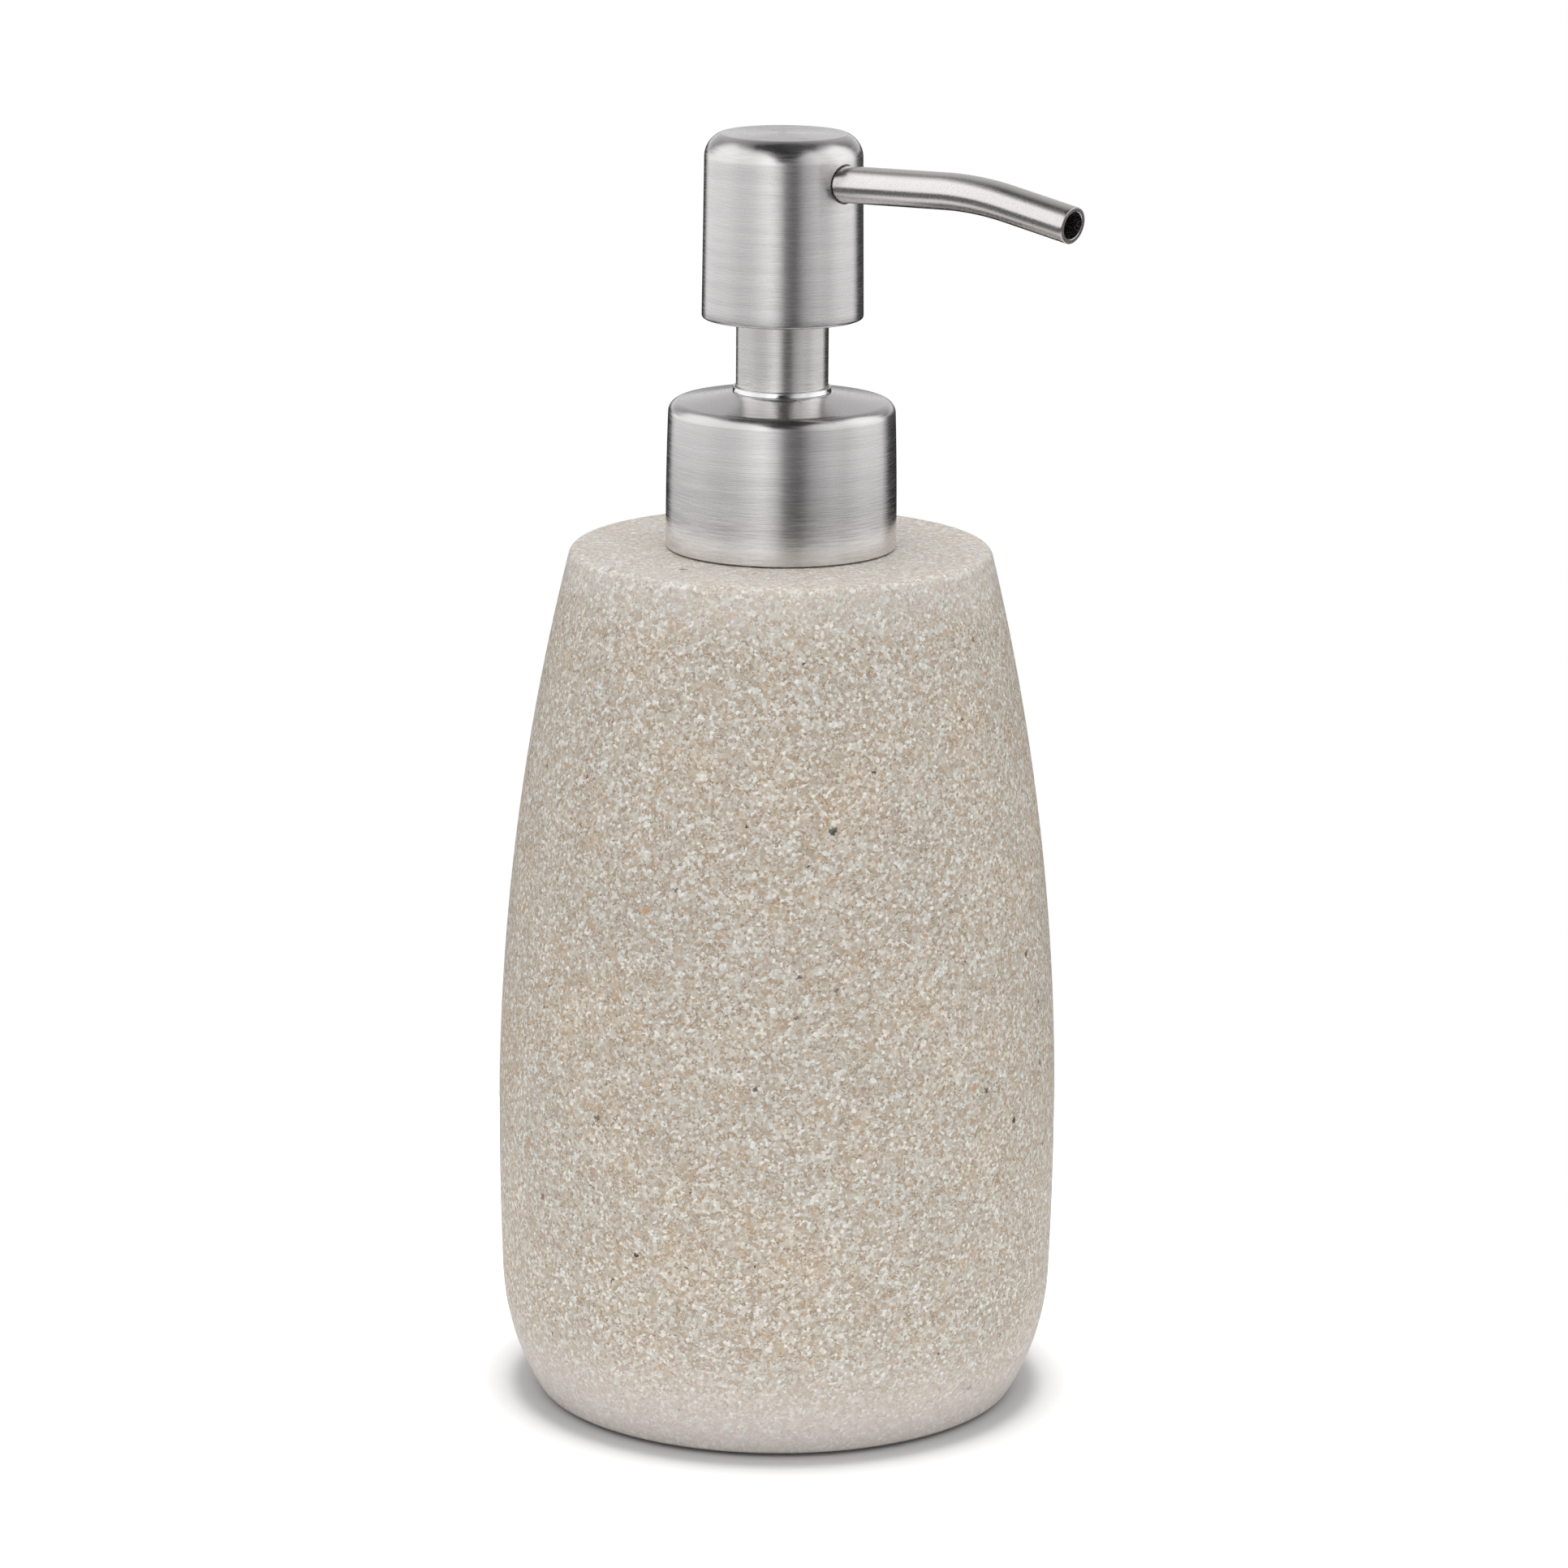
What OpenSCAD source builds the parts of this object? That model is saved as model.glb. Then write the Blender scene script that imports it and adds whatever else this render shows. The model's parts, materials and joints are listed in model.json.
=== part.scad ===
// Soap pump dispenser: a cast stone-resin bottle with a steel-clad lotion pump screwed on its neck.
// Millimetres, +Z up. The origin is the centre of the face the bottle stands on.
// The spout points along +X, and the pump is drawn at the top of its stroke.

/* [Bottle] */
// Height of the bottle's top face above the table
bottle_h = 115.8; // [114:0.1:118]
// Diameter at the widest point
bottle_d = 75; // [74:0.1:77]
// Height of the widest point
widest_z = 37.4; // [36:0.1:39]
// Radius of the long arc from the widest point up to the top edge
side_radius = 322; // [310:1:340]
// Radius of the nearly straight stretch just below the widest point
belly_radius = 540; // [450:10:600]
// Turn of that stretch, in degrees
belly_turn = 2.2; // [2:0.1:2.4]
// Radius of the tuck under the belly
tuck_radius = 33.5; // [32.5:0.1:34.5]
// Rounding of the heel where the tuck meets the base
heel_round = 1.2; // [0.8:0.1:2]
// Rounding of the top edge
edge_round = 1.4; // [0.8:0.1:2]
// Wall thickness of the casting
wall = 5; // [4.5:0.1:5.5]

/* [Base pad] */
// Diameter of the soft pad under the bottle
pad_d = 57; // [50:0.5:58]
// How far the pad holds the bottle off the table
pad_proud = 0.4; // [0.3:0.1:0.6]

/* [Neck and thread] */
// Bore of the threaded neck
neck_bore_d = 21; // [20.8:0.1:21.2]
// Root diameter of the neck thread
neck_d = 25; // [24.8:0.1:25.2]
// Outside diameter of the neck thread
thread_d = 27; // [26.8:0.1:27]
// Rise of the thread in one turn
thread_pitch = 4.233; // [4.1:0.001:4.3]
// Number of turns of thread
thread_turns = 1.5; // [1:0.25:1.5]
// Height of the neck's rim above the bottle's top face
neck_rise = 14.2; // [14:0.1:14.4]

/* [Collar] */
// Diameter of the collar at its foot
collar_d = 30.5; // [30.4:0.1:31]
// Height of the collar from its foot to the crease of its shoulder
collar_h = 19.3; // [19.2:0.1:19.6]
// Diameter of the crease where the shoulder meets the domed top
collar_crease_d = 27.8; // [27:0.1:28]
// Thickness of the collar's steel
collar_sheet = 0.35; // [0.3:0.05:0.4]

/* [Stem] */
// Outside diameter of the steel sleeve on the stem
sleeve_d = 12.16; // [12:0.02:12.2]
// Full stroke of the pump
stroke = 8.5; // [6:0.1:8.6]
// Clearance on radius of each running fit
fit = 0.06; // [0.04:0.01:0.08]

/* [Head] */
// Diameter of the head at its foot
head_d = 21.26; // [21.1:0.02:21.5]
// Diameter of the head just below its shoulder
head_top_d = 20.76; // [20.6:0.02:20.9]
// Height of the head
head_h = 24.25; // [24.1:0.05:24.5]
// Radius of the head's shoulder
head_shoulder_r = 3.3; // [3:0.1:3.5]
// Thickness of the head's steel
head_sheet = 0.4; // [0.3:0.05:0.5]

/* [Spout] */
// Outside diameter of the spout tube
spout_d = 4.8; // [4.6:0.1:5]
// Bore of the spout tube
spout_bore = 3.6; // [3.4:0.1:4]
// Straight length from the pump's axis to the start of the bend
spout_straight = 26.8; // [24:0.1:30]
// Rise of the straight length above the horizontal, in degrees
spout_rise = 2.4; // [0:0.1:3]
// Fall of the end below the horizontal, in degrees
spout_fall = 9.8; // [6:0.1:14]
// Radius of the bend on the tube's centre line
spout_bend_r = 50; // [40:1:60]
// Length of tube after the bend
spout_end = 10.2; // [6:0.1:14]

/* [Pump] */
// Bore of the pump cylinder
cylinder_d = 15; // [14.8:0.1:15]
// Diameter of the valve ball
ball_d = 4.8; // [4.7:0.1:4.9]
// Lift of the valve ball
ball_lift = 1.6; // [1:0.1:1.7]
// Outside diameter of the dip tube
dip_d = 7; // [6.6:0.1:7]
// Height of the dip tube's lower end above the table
dip_end_z = 10.5; // [10:0.5:14]
// Wire of the return spring
spring_wire = 1; // [0.8:0.1:1]
// Turns of the return spring
spring_turns = 5.5; // [4:0.5:6]

/* [Hidden] */
$fn = 96;
eps = 0.01;

// Bottle: the outline is a chain of arcs, each tangent to the next
bottle_r = bottle_d / 2;
side_c = [bottle_r - side_radius, widest_z];
belly_c = [bottle_r - belly_radius, widest_z];
tuck_c = belly_c + (belly_radius - tuck_radius) * [cos(belly_turn), -sin(belly_turn)];
belly_z = belly_c[1] - belly_radius * sin(belly_turn);
floor_t = 8;
top_t = 8;
mouth_r = neck_d / 2 + 0.1;
pad_t = 1.4;
pad_gap = 0.3;

// Neck insert
neck_top = bottle_h + neck_rise;
insert_flange_r = 14.2;
insert_flange_t = 1;
insert_depth = 10;
groove_depth = 0.3;
barb_t = 1.6;
barb_step = 2 * barb_t;
rim_chamfer = 0.6;
thread_root_w = 2;
thread_crest_w = 1;
thread_steps = 20;
thread_sink = 0.3;
thread_z = bottle_h + 4.8;
thread_gap = 0.15;

// Stack of flanges clamped on the neck's rim
gasket_t = 1;
flange_t = 1;
housing_top = neck_top + gasket_t + flange_t;
chaplet_flange_r = 11.2;
chaplet_flange_t = 0.9;
web_z = housing_top + chaplet_flange_t;
web_t = 1.6;

// Collar
collar_z = bottle_h + 0.2;
collar_side_r = 445;
collar_bulge_z = collar_z + 2.5;
collar_round = 1.6;
collar_round_z = collar_z + collar_h - 1.5;
dome_rise = 1.29;
collar_hole_r = 6.5;
ring_top_z = collar_z + collar_h + dome_rise + 0.75;

// Stem, piston and head, drawn at the top of the stroke
sleeve_r = sleeve_d / 2;
sleeve_sheet = 0.35;
guide_r = sleeve_r + fit;
stem_r = 4;
stem_bore_r = 2.4;
head_z = ring_top_z + stroke + 0.55;
// The nearly flat top rises this much from its crease to its middle
head_top_rise = 0.09;
head_crease_turn = 68;
head_round_z = head_z + head_h - head_top_rise - head_shoulder_r * sin(head_crease_turn);
core_chamfer = 0.9;
hem_h = 0.8;
hem_bevel = 0.35;
chaplet_z = housing_top - 13;
guide_step_z = chaplet_z + 5;
sleeve_z = guide_step_z + stroke + 0.5;
sleeve_top_z = head_z + 4.1;
stem_top_z = head_z + 11.6;
stem_flange_t = 1.6;
stem_z = chaplet_z - 0.05 - stem_flange_t;
seal_float = 1.2;
seal_h = 6.8;
seal_z = stem_z - seal_float - seal_h;
rod_head_t = 1.6;
rod_head_r = 5.6;
rod_neck_r = 2.6;
rod_bore_r = 1.3;
port_r = 0.7;

// Pump cylinder
cylinder_r = cylinder_d / 2;
cylinder_wall = 1;
housing_r = 9.3;
housing_upper_bore_r = 8.3;
floor_z = chaplet_z - 28;
cylinder_floor_t = 2.5;
socket_l = 10;
socket_wall = 1.1;
socket_cone_h = 3;
vent_r = 0.5;
orifice_r = 1.5;
seat_r = 3;
seat_z = floor_z - (seat_r - orifice_r);
ball_r = ball_d / 2;
ball_z = seat_z - orifice_r + ball_r * sqrt(2) + 0.02;
crown_z = ball_z + ball_r + ball_lift + 0.1;
cage_base_t = 1.2;
spring_r = 4.9;
spring_z = floor_z + cage_base_t;
spring_top_z = seal_z - 0.05 - rod_head_t;

// Spout
spout_z = head_z + 18;
spout_inner_x = 3.5;
spout_hole_gap = 0.2;
lap = 0.5;
hair = 0.01;

module ring(r_in, r_out, z_lo, z_hi) {
    translate([0, 0, z_lo])
        difference() {
            cylinder(r = r_out, h = z_hi - z_lo);
            translate([0, 0, -1]) cylinder(r = r_in, h = z_hi - z_lo + 2);
        }
}

// Part of a disc that lies between two heights, right of the axis
module arc_band(centre, r, z_lo, z_hi) {
    intersection() {
        translate(centre) circle(r = r, $fn = r > 100 ? 900 : 180);
        translate([0, z_lo]) square([bottle_r + 5, z_hi - z_lo]);
    }
}

// Half section of the bottle, moved inwards by inset, between two heights
module bottle_section(inset, z_lo, z_hi) {
    arc_band(side_c, side_radius - inset, widest_z, z_hi);
    arc_band(belly_c, belly_radius - inset, belly_z, widest_z + eps);
    arc_band(tuck_c, tuck_radius - inset, z_lo, belly_z + eps);
}

// Whole outline: small arcs ease the side into the flat top and the tuck into the flat base
module bottle_outline() {
    round_z = bottle_h - edge_round;
    reach = side_radius - edge_round;
    round_r = side_c[0] + sqrt(pow(reach, 2) - pow(round_z - widest_z, 2));
    touch_z = round_z + edge_round * (round_z - widest_z) / reach;
    heel_z = pad_proud + heel_round;
    heel_turn = asin((tuck_c[1] - heel_z) / (tuck_radius - heel_round));
    heel_r = tuck_c[0] + (tuck_radius - heel_round) * cos(heel_turn);
    heel_touch_z = tuck_c[1] - tuck_radius * sin(heel_turn);
    bottle_section(0, heel_touch_z, touch_z);
    translate([0, touch_z - eps]) square([round_r, bottle_h - touch_z + eps]);
    arc_band([round_r, round_z], edge_round, touch_z - eps, bottle_h);
    translate([0, pad_proud]) square([heel_r, heel_touch_z - pad_proud + eps]);
    arc_band([heel_r, heel_z], heel_round, pad_proud, heel_touch_z + eps);
}

module bottle_body() {
    color("#c9c0b0")
        difference() {
            rotate_extrude() bottle_outline();
            rotate_extrude() bottle_section(wall, pad_proud + floor_t, bottle_h - top_t);
            translate([0, 0, bottle_h - top_t - 1]) cylinder(r = mouth_r, h = top_t + 2);
            translate([0, 0, -1]) cylinder(d = pad_d + 2 * pad_gap, h = pad_t + 1);
        }
}

module base_pad() {
    color("#6e675e") cylinder(d = pad_d, h = pad_t);
}

// Helical rib. side = 1 stands out of a neck, side = -1 stands into a cap
module thread_rib(r_root, height, z_start, side) {
    steps = thread_steps * thread_turns;
    points = [
        for (i = [0 : steps])
            let (a = 360 * i / thread_steps, z = z_start + thread_pitch * i / thread_steps)
            let (fade = min(1, 0.25 + i / 3, 0.25 + (steps - i) / 3))
            for (corner = [[-thread_sink, -thread_root_w], [height * fade, -thread_crest_w],
                           [height * fade, thread_crest_w], [-thread_sink, thread_root_w]])
                let (r = r_root + side * corner[0])
                [r * cos(a), r * sin(a), z + corner[1] / 2]
    ];
    skin = [
        for (i = [0 : steps - 1], j = [0 : 3])
            let (a = 4 * i + j, b = 4 * i + (j + 1) % 4)
            each [[a, b, b + 4], [a, b + 4, a + 4]]
    ];
    last = 4 * steps;
    ends = [[2, 1, 0], [3, 2, 0], [last, last + 1, last + 2], [last, last + 2, last + 3]];
    outward = [for (f = concat(skin, ends)) side < 0 ? [f[2], f[1], f[0]] : f];
    polyhedron(points = points, faces = outward, convexity = 6);
}

module neck_insert() {
    color("#dcdcd6") {
        difference() {
            union() {
                translate([0, 0, bottle_h - insert_depth])
                    cylinder(d = neck_d - 2 * groove_depth, h = insert_depth + 1);
                for (i = [0 : 2])
                    translate([0, 0, bottle_h - insert_depth + barb_t / 2 + barb_step * i])
                        cylinder(d = neck_d, h = barb_t);
                translate([0, 0, bottle_h]) cylinder(r = insert_flange_r, h = insert_flange_t);
                translate([0, 0, bottle_h]) cylinder(d = neck_d, h = neck_rise - rim_chamfer);
                translate([0, 0, neck_top - rim_chamfer])
                    cylinder(d1 = neck_d, d2 = neck_d - 2 * rim_chamfer, h = rim_chamfer);
                thread_rib(neck_d / 2, (thread_d - neck_d) / 2, thread_z, 1);
            }
            translate([0, 0, bottle_h - insert_depth - 1])
                cylinder(d = neck_bore_d, h = insert_depth + neck_rise + 2);
        }
    }
}

module neck_gasket() {
    color("#eef0f0") ring(housing_r + 0.15, neck_d / 2 + 0.5, neck_top, neck_top + gasket_t);
}

module pump_housing() {
    shoulder_z = chaplet_z - 1.5;
    bottom_z = floor_z - cylinder_floor_t;
    socket_r = dip_d / 2 + 0.05;
    color("#e6e8e8")
        difference() {
            union() {
                translate([0, 0, housing_top - flange_t])
                    cylinder(r = neck_d / 2 + 0.4, h = flange_t);
                translate([0, 0, shoulder_z])
                    cylinder(r = housing_r, h = housing_top - shoulder_z);
                translate([0, 0, shoulder_z - 0.8])
                    cylinder(r1 = cylinder_r + cylinder_wall, r2 = housing_r, h = 0.8);
                translate([0, 0, bottom_z])
                    cylinder(r = cylinder_r + cylinder_wall, h = shoulder_z - bottom_z);
                translate([0, 0, bottom_z - socket_cone_h])
                    cylinder(r1 = socket_r + socket_wall, r2 = cylinder_r + cylinder_wall,
                             h = socket_cone_h);
                translate([0, 0, bottom_z - socket_l])
                    cylinder(r = socket_r + socket_wall, h = socket_l);
            }
            translate([0, 0, chaplet_z]) cylinder(r = housing_upper_bore_r, h = 20);
            translate([0, 0, floor_z]) cylinder(r = cylinder_r, h = 40);
            translate([0, 0, seat_z])
                cylinder(r1 = orifice_r, r2 = seat_r + eps, h = floor_z - seat_z + eps);
            translate([0, 0, bottom_z - 1]) cylinder(r = orifice_r, h = 4);
            translate([0, 0, bottom_z - socket_l - 1]) cylinder(r = socket_r, h = socket_l + 1);
            // Vent that lets air into the bottle above the piston
            translate([0, 0, chaplet_z - 0.9]) rotate([0, 90, 0]) cylinder(r = vent_r, h = 12);
        }
}

module chaplet() {
    color("#e6e8e8")
        difference() {
            union() {
                translate([0, 0, chaplet_z])
                    cylinder(r = housing_upper_bore_r - 0.05, h = housing_top - chaplet_z);
                translate([0, 0, housing_top]) cylinder(r = chaplet_flange_r, h = chaplet_flange_t);
                translate([0, 0, housing_top])
                    cylinder(r = guide_r + 1, h = web_z + web_t + 0.6 - housing_top);
            }
            translate([0, 0, chaplet_z - 1]) cylinder(r = stem_r + fit, h = 10);
            translate([0, 0, guide_step_z]) cylinder(r = guide_r, h = 20);
        }
}

module dip_tube() {
    top_z = floor_z - cylinder_floor_t - 0.5;
    color("#eef2f2")
        difference() {
            ring(dip_d / 2 - 0.9, dip_d / 2, dip_end_z, top_z);
            // Slanted lower end, which can't seal against the floor
            translate([0, 0, dip_end_z + dip_d / 4])
                rotate([0, 30, 0])
                    translate([-dip_d, -dip_d, -2 * dip_d]) cube(2 * dip_d);
        }
}

module valve_cage() {
    crown_r = ball_r + 1.3;
    color("#f0f0ea")
        difference() {
            union() {
                translate([0, 0, floor_z])
                    cylinder(r = cylinder_r - 0.1, h = cage_base_t);
                translate([0, 0, floor_z]) cylinder(r = crown_r, h = crown_z + 1 - floor_z);
            }
            translate([0, 0, floor_z - 1])
                cylinder(r = ball_r + 0.4, h = crown_z - floor_z + 1);
            for (a = [0, 60, 120])
                rotate([0, 0, a])
                    translate([-crown_r - 1, -0.9, spring_z + 0.4])
                        cube([2 * crown_r + 2, 1.8, crown_z - spring_z - 0.4 + eps]);
            translate([0, 0, floor_z]) cylinder(r = 0.8, h = 20);
        }
}

module inlet_ball() {
    color("#b9c4c8") translate([0, 0, ball_z]) sphere(r = ball_r);
}

// Round wire wound on a helix, with the first and last turn nearly closed
module return_spring() {
    steps_turn = 20;
    steps = steps_turn * spring_turns;
    sides = 8;
    wire_r = spring_wire / 2;
    low = spring_z + wire_r + 0.02;
    high = spring_top_z - wire_r - 0.02;
    // Share of the wire at each end that winds up slowly from level
    slow = 0.18;
    function rise(u) = u < slow ? u * u / (2 * slow)
        : u > 1 - slow ? 1 - slow - (1 - u) * (1 - u) / (2 * slow)
        : u - slow / 2;
    points = [
        for (i = [0 : steps])
            let (a = 360 * i / steps_turn)
            let (z = low + (high - low) * rise(i / steps) / (1 - slow))
            for (j = [0 : sides - 1])
                let (b = 360 * j / sides, r = spring_r + wire_r * cos(b))
                [r * cos(a), r * sin(a), z + wire_r * sin(b)]
    ];
    skin = [
        for (i = [0 : steps - 1], j = [0 : sides - 1])
            let (a = sides * i + j, b = sides * i + (j + 1) % sides)
            each [[a, b + sides, b], [a, a + sides, b + sides]]
    ];
    first = [for (j = [0 : sides - 1]) j];
    last = [for (j = [sides - 1 : -1 : 0]) sides * steps + j];
    color("#c8ccd0") polyhedron(points = points, faces = concat(skin, [first, last]), convexity = 8);
}

module closure_cap() {
    skirt_z = bottle_h + insert_flange_t + 0.3;
    cap_r = collar_d / 2 - 0.75;
    root_r = thread_d / 2 + thread_gap;
    color("#d8d8d4") {
        ring(root_r, cap_r, skirt_z, web_z + eps);
        ring(guide_r + 1.1, cap_r, web_z, web_z + web_t);
        thread_rib(root_r, (thread_d - neck_d) / 2 - 0.1, thread_z - thread_pitch / 2, -1);
    }
}

// Outer section of the collar, moved inwards by inset
module collar_section(inset, z_lo) {
    crease = [collar_crease_d / 2, collar_z + collar_h];
    side_c = [collar_d / 2 - collar_side_r, collar_bulge_z];
    side_r = collar_side_r - inset;
    round_c_r = side_c[0] - collar_round
        + sqrt(pow(collar_side_r, 2) - pow(collar_round_z - collar_bulge_z, 2));
    arc_band(side_c, side_r, z_lo, collar_round_z);
    arc_band([round_c_r, collar_round_z], collar_round - inset, collar_round_z - eps, crease[1]);
    polygon([
        [0, collar_round_z - eps], [round_c_r, collar_round_z - eps],
        [round_c_r, crease[1] - inset], [crease[0], crease[1] - inset],
        [collar_hole_r, crease[1] + dome_rise - inset], [0, crease[1] + dome_rise - inset]
    ]);
}

module closure_shell() {
    color("#b9bbbe")
        difference() {
            rotate_extrude() collar_section(0, collar_z);
            rotate_extrude() collar_section(collar_sheet, collar_z - 1);
            cylinder(r = collar_hole_r, h = ring_top_z + 5);
        }
}

// Bright ring in the collar's hole. The stem slides through it
module guide_ring() {
    foot_z = collar_z + collar_h + dome_rise;
    color("#dfe1e4")
        rotate_extrude()
            polygon([
                [guide_r, foot_z - 0.9], [collar_hole_r + 0.5, foot_z - 0.9],
                [collar_hole_r + 0.5, foot_z - 0.55], [collar_hole_r - 0.03, foot_z - 0.45],
                [collar_hole_r - 0.03, foot_z + 0.02], [guide_r + 0.14, ring_top_z],
                [guide_r, ring_top_z]
            ]);
}

module stem_sleeve() {
    color("#b4b6b9") ring(sleeve_r - sleeve_sheet, sleeve_r, sleeve_z, sleeve_top_z);
}

module upper_stem() {
    centring_r = sleeve_r - sleeve_sheet - 0.03;
    color("#e9e9e4")
        difference() {
            union() {
                translate([0, 0, stem_z]) cylinder(r = stem_r, h = stem_top_z - stem_z);
                translate([0, 0, stem_z]) cylinder(r = cylinder_r - 0.9, h = stem_flange_t);
                for (z = [sleeve_z + 0.4, sleeve_top_z - 1.9])
                    translate([0, 0, z]) cylinder(r = centring_r, h = 1.5);
            }
            translate([0, 0, stem_z - 1]) cylinder(r = stem_bore_r, h = stem_top_z - stem_z + 2);
        }
}

module piston_rod() {
    neck_z = spring_top_z + rod_head_t;
    bore_z = neck_z + 1.8;
    color("#dfe6ea")
        difference() {
            union() {
                translate([0, 0, spring_top_z - 1.5]) cylinder(r = 3.6, h = 1.5 + rod_head_t);
                translate([0, 0, spring_top_z]) cylinder(r = rod_head_r, h = rod_head_t);
                translate([0, 0, neck_z]) cylinder(r = rod_neck_r, h = stem_z - neck_z - 0.02);
                translate([0, 0, neck_z]) cylinder(r = stem_bore_r - 0.03, h = stem_z + 7 - neck_z);
            }
            translate([0, 0, bore_z]) cylinder(r = rod_bore_r, h = 30);
            // Ports that the seal covers until the downstroke
            for (a = [0, 90])
                rotate([90, 0, a])
                    translate([0, bore_z + 0.8, -5]) cylinder(r = port_r, h = 10);
        }
}

module piston_seal() {
    bore_r = rod_neck_r + fit;
    lip_r = cylinder_r - 0.04;
    waist_r = cylinder_r - 0.6;
    top = seal_z + seal_h;
    color("#f4f4ef")
        rotate_extrude()
            polygon([
                [bore_r, seal_z], [bore_r + 1.5, seal_z], [bore_r + 1.5, seal_z + 1.8],
                [lip_r - 0.9, seal_z + 1.8], [lip_r - 0.5, seal_z], [lip_r, seal_z],
                [lip_r, seal_z + 0.8], [waist_r, seal_z + 1.8], [waist_r, top - 1.8],
                [lip_r, top - 0.8], [lip_r, top], [lip_r - 0.5, top],
                [lip_r - 0.9, top - 1.8], [bore_r + 1.5, top - 1.8], [bore_r + 1.5, top],
                [bore_r, top]
            ]);
}

// Straight run of the spout, from x_start along its centre line
module spout_run(r, x_start) {
    translate([0, 0, spout_z])
        rotate([0, 90 - spout_rise, 0])
            translate([0, 0, x_start]) cylinder(r = r, h = spout_straight - x_start);
}

// Whole spout as a solid bar. Each stretch starts a little inside the one before and is a hair thinner
module spout_bar(r, x_start, x_extra) {
    turn = spout_rise + spout_fall;
    lap_turn = lap / spout_bend_r * 180 / PI;
    spout_run(r, x_start);
    translate([0, 0, spout_z])
        rotate([0, -spout_rise, 0])
            translate([spout_straight, 0, -spout_bend_r])
                rotate([90, 0, 0]) {
                    rotate([0, 0, 90 - turn])
                        rotate_extrude(angle = turn + lap_turn)
                            translate([spout_bend_r, 0]) circle(r = r - hair);
                    rotate([0, 0, -turn])
                        translate([-lap, spout_bend_r, 0])
                            rotate([0, 90, 0])
                                cylinder(r = r - 2 * hair, h = lap + spout_end + x_extra);
                }
}

module spout_tube() {
    color("#b6b5b7")
        difference() {
            spout_bar(spout_d / 2, spout_inner_x, 0);
            spout_bar(spout_bore / 2, spout_inner_x - 1, 1);
        }
}

module head_core() {
    core_r = head_top_d / 2 - head_sheet - 0.1;
    core_z = head_z + 1.6;
    socket_r = sleeve_r + fit;
    color("#e4e4de")
        difference() {
            union() {
                translate([0, 0, core_z]) cylinder(r = core_r, h = head_round_z - core_z);
                translate([0, 0, head_round_z])
                    cylinder(r1 = core_r, r2 = core_r - core_chamfer, h = core_chamfer);
            }
            // Lightening pocket round the boss
            ring(socket_r + 1, core_r - 1, core_z - 1, core_z + 11);
            translate([0, 0, core_z - 1]) cylinder(r = socket_r, h = sleeve_top_z + 1.2 - core_z);
            translate([0, 0, core_z - 1]) cylinder(r = stem_r + fit, h = stem_top_z + 1.2 - core_z);
            translate([0, 0, core_z]) cylinder(r = 1.9, h = spout_z - core_z);
            spout_run(spout_d / 2 + 0.04, 0);
        }
}

// Outer section of the head, moved inwards by inset
module head_section(inset, z_lo) {
    round_r = head_top_d / 2 - head_shoulder_r;
    crease_z = head_round_z + head_shoulder_r * sin(head_crease_turn) - inset;
    crease_r = round_r + head_shoulder_r * cos(head_crease_turn);
    bevel = inset > 0 ? 0 : hem_bevel;
    polygon([
        [0, z_lo], [head_d / 2 - inset - bevel, z_lo], [head_d / 2 - inset, z_lo + bevel],
        [head_top_d / 2 - inset, head_round_z], [0, head_round_z]
    ]);
    intersection() {
        translate([round_r, head_round_z]) circle(r = head_shoulder_r - inset, $fn = 180);
        translate([round_r, head_round_z - eps])
            square([head_shoulder_r, crease_z - head_round_z + eps]);
    }
    polygon([
        [0, head_round_z - eps], [round_r, head_round_z - eps], [round_r, crease_z],
        [crease_r, crease_z], [0, head_z + head_h - inset]
    ]);
}

module head_shell() {
    color("#b9bbbe")
        difference() {
            union() {
                difference() {
                    rotate_extrude() head_section(0, head_z);
                    rotate_extrude() head_section(head_sheet, head_z - 1);
                }
                // Hem turned in at the foot
                ring(head_top_d / 2 - head_sheet - 0.05, head_d / 2 - head_sheet + 0.1,
                     head_z + 0.05, head_z + hem_h);
            }
            spout_run(spout_d / 2 + spout_hole_gap, 5);
        }
}

bottle_body();
base_pad();
neck_insert();
neck_gasket();
pump_housing();
chaplet();
dip_tube();
valve_cage();
inlet_ball();
return_spring();
closure_cap();
closure_shell();
guide_ring();
stem_sleeve();
upper_stem();
piston_rod();
piston_seal();
head_core();
head_shell();
spout_tube();
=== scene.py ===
"""Looks of a stone-resin soap dispenser with a brushed-steel lotion pump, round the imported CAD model.

Metres, +Z up, the spout along +X. Places come from the CAD nodes' boxes, and the outlines repeat the
arcs of the parts they stand for.
"""
import json
import math

import bmesh
import bpy
from mathutils import Matrix, Vector


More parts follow.
